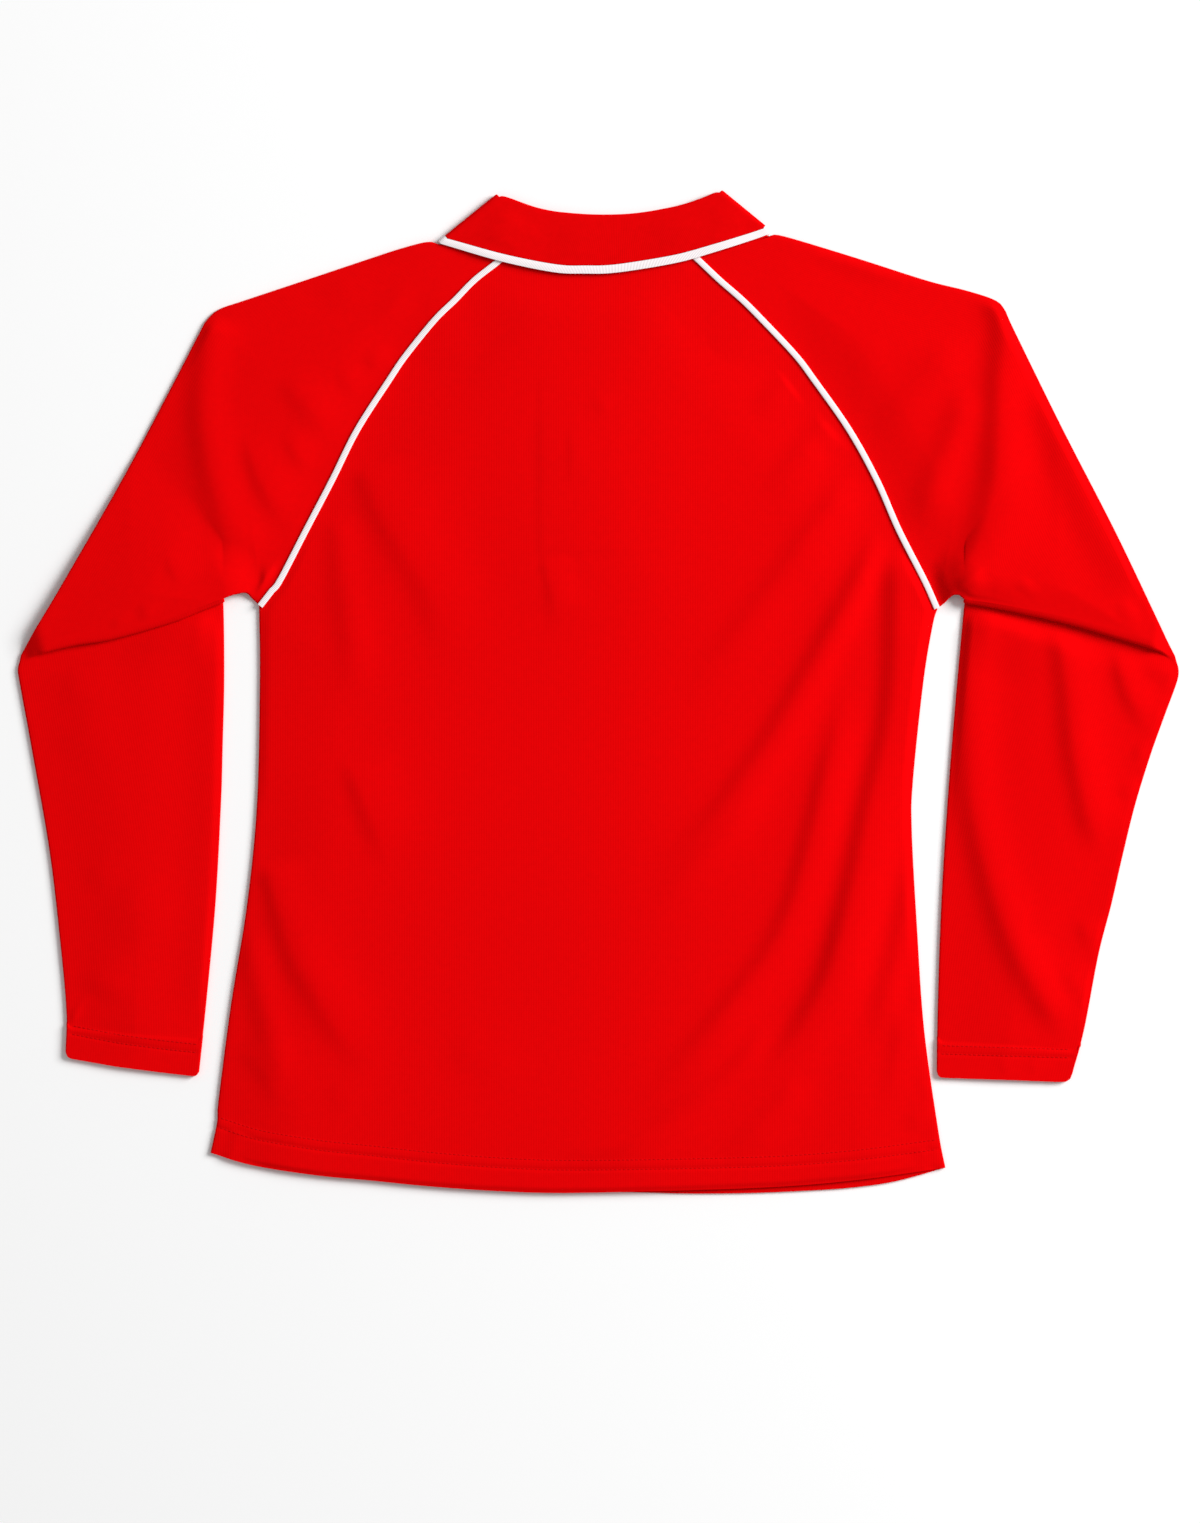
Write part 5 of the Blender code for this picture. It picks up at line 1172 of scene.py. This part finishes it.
def tape_underneath(made, raglan):
    """Give the tape's colour to the faces of a piece's underside that lie along a front raglan seam."""
    mesh = made.data
    centres = np.empty(len(mesh.polygons) * 3)
    mesh.polygons.foreach_get("center", centres)
    centres = centres.reshape(-1, 3) / MM
    near = from_line(centres[:, :2], smooth(raglan, 60))[0] < FRONT_TAPE_HALF
    chosen = near & (centres[:, 2] < 0.5 + leaf_lift(centres[:, :2]))
    if WHITE_TAPE.name not in mesh.materials:
        mesh.materials.append(WHITE_TAPE)
    slots = np.empty(len(chosen), np.int32)
    mesh.polygons.foreach_get("material_index", slots)
    mesh.polygons.foreach_set("material_index", np.where(chosen, 1, slots).astype(np.int32))
    return int(chosen.sum())


print("taped faces:", [tape_underneath(pieces[key], line) for key, line in (
    ("front", FRONT_RAGLAN_LEFT), ("front", FRONT_RAGLAN_RIGHT), ("sleeve_left", FRONT_RAGLAN_LEFT),
    ("sleeve_right", FRONT_RAGLAN_RIGHT))])

# %% Riding, replacing and cloth sizes
NODES = {"back": "back_panel", "front": "front_panel", "collar": "collar", "collar_tape": "collar_tape",
         "tape_left": "raglan_tape_left", "tape_right": "raglan_tape_right"}
for key, piece in pieces.items():
    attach(piece, "root")
    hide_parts(NODES.get(key, key))
for row in stitch_rows:
    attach(row, "root")

SHEETS = {  # flat width and length in metres, cut area in square metres, what it rests on
    "front": ((0.533, 0.668), 0.282, ["floor"]),
    "back": ((0.533, 0.685), 0.294, ["front_cloth", "placket_under_band"]),
    "sleeve_left": ((0.314, 0.742), 0.183, ["floor"]),
    "sleeve_right": ((0.314, 0.742), 0.183, ["floor"]),
    "collar": ((0.480, 0.078), 0.0355, ["floor", "back_cloth"]),
    "placket_upper": ((0.036, 0.165), 0.0059, ["button_1", "button_2", "button_3"]),
    "placket_under": ((0.034, 0.162), 0.0055, ["placket_upper_band"]),
}
SEWN_ON = {"back": [pieces["tape_left"], pieces["tape_right"], *stitch_rows[:2]], "collar": [pieces["collar_tape"]],
           "sleeve_left": stitch_rows[2:4], "sleeve_right": stitch_rows[4:]}

# %% [markdown]
# ## Floor and light
# The photograph is a cut-out on white, so the floor is a plain near-white sheet. A large soft panel stands to the
# right and a little towards the collar. Its light comes in at 30 degrees, which darkens the west side of each fold
# and brightens the east side. The white surroundings fill in the rest.

# %% Floor, lights and view
floor_points = 4000 * np.array([(-1, -1, 0), (1, -1, 0), (1, 1, 0), (-1, 1, 0)])
floor_paint = new_material("matt_white_paint", "#f7f7f7", 0.9, Specular_IOR_Level=0.1)[0]
floor = mesh_object("floor", floor_points, [[0, 1, 2, 3]], floor_paint)
for key, (flat, area, below) in SHEETS.items():
    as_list(SEWN_ON.get(key, ()))


def soft_panel(name, place, target, size, power):
    """A square area light at a place that faces a target, in metres and watts."""
    light = bpy.data.lights.new(name, "AREA")
    light.size, light.energy = size, power
    made = bpy.data.objects.new(name, light)
    way = np.array(target, float) - np.array(place, float)
    made.location = place
    made.rotation_euler = (math.acos(-way[2] / np.linalg.norm(way)), 0.0, math.atan2(way[1], way[0]) - math.pi / 2)
    bpy.context.collection.objects.link(made)
    return made


key_light = soft_panel("key_panel", (5.6, 2.4, 3.6), (0.0, -0.05, 0.0), 3.4, 735.0)
world = bpy.data.worlds.new("white_room")
world.use_nodes = True
world.node_tree.nodes["Background"].inputs["Color"].default_value = linear("#ffffff")
world.node_tree.nodes["Background"].inputs["Strength"].default_value = 0.39
bpy.context.scene.world = world
bpy.context.scene.view_settings.view_transform = "Standard"
print("lit by", key_light.name)

# %% Finish
bpy.context.view_layer.update()
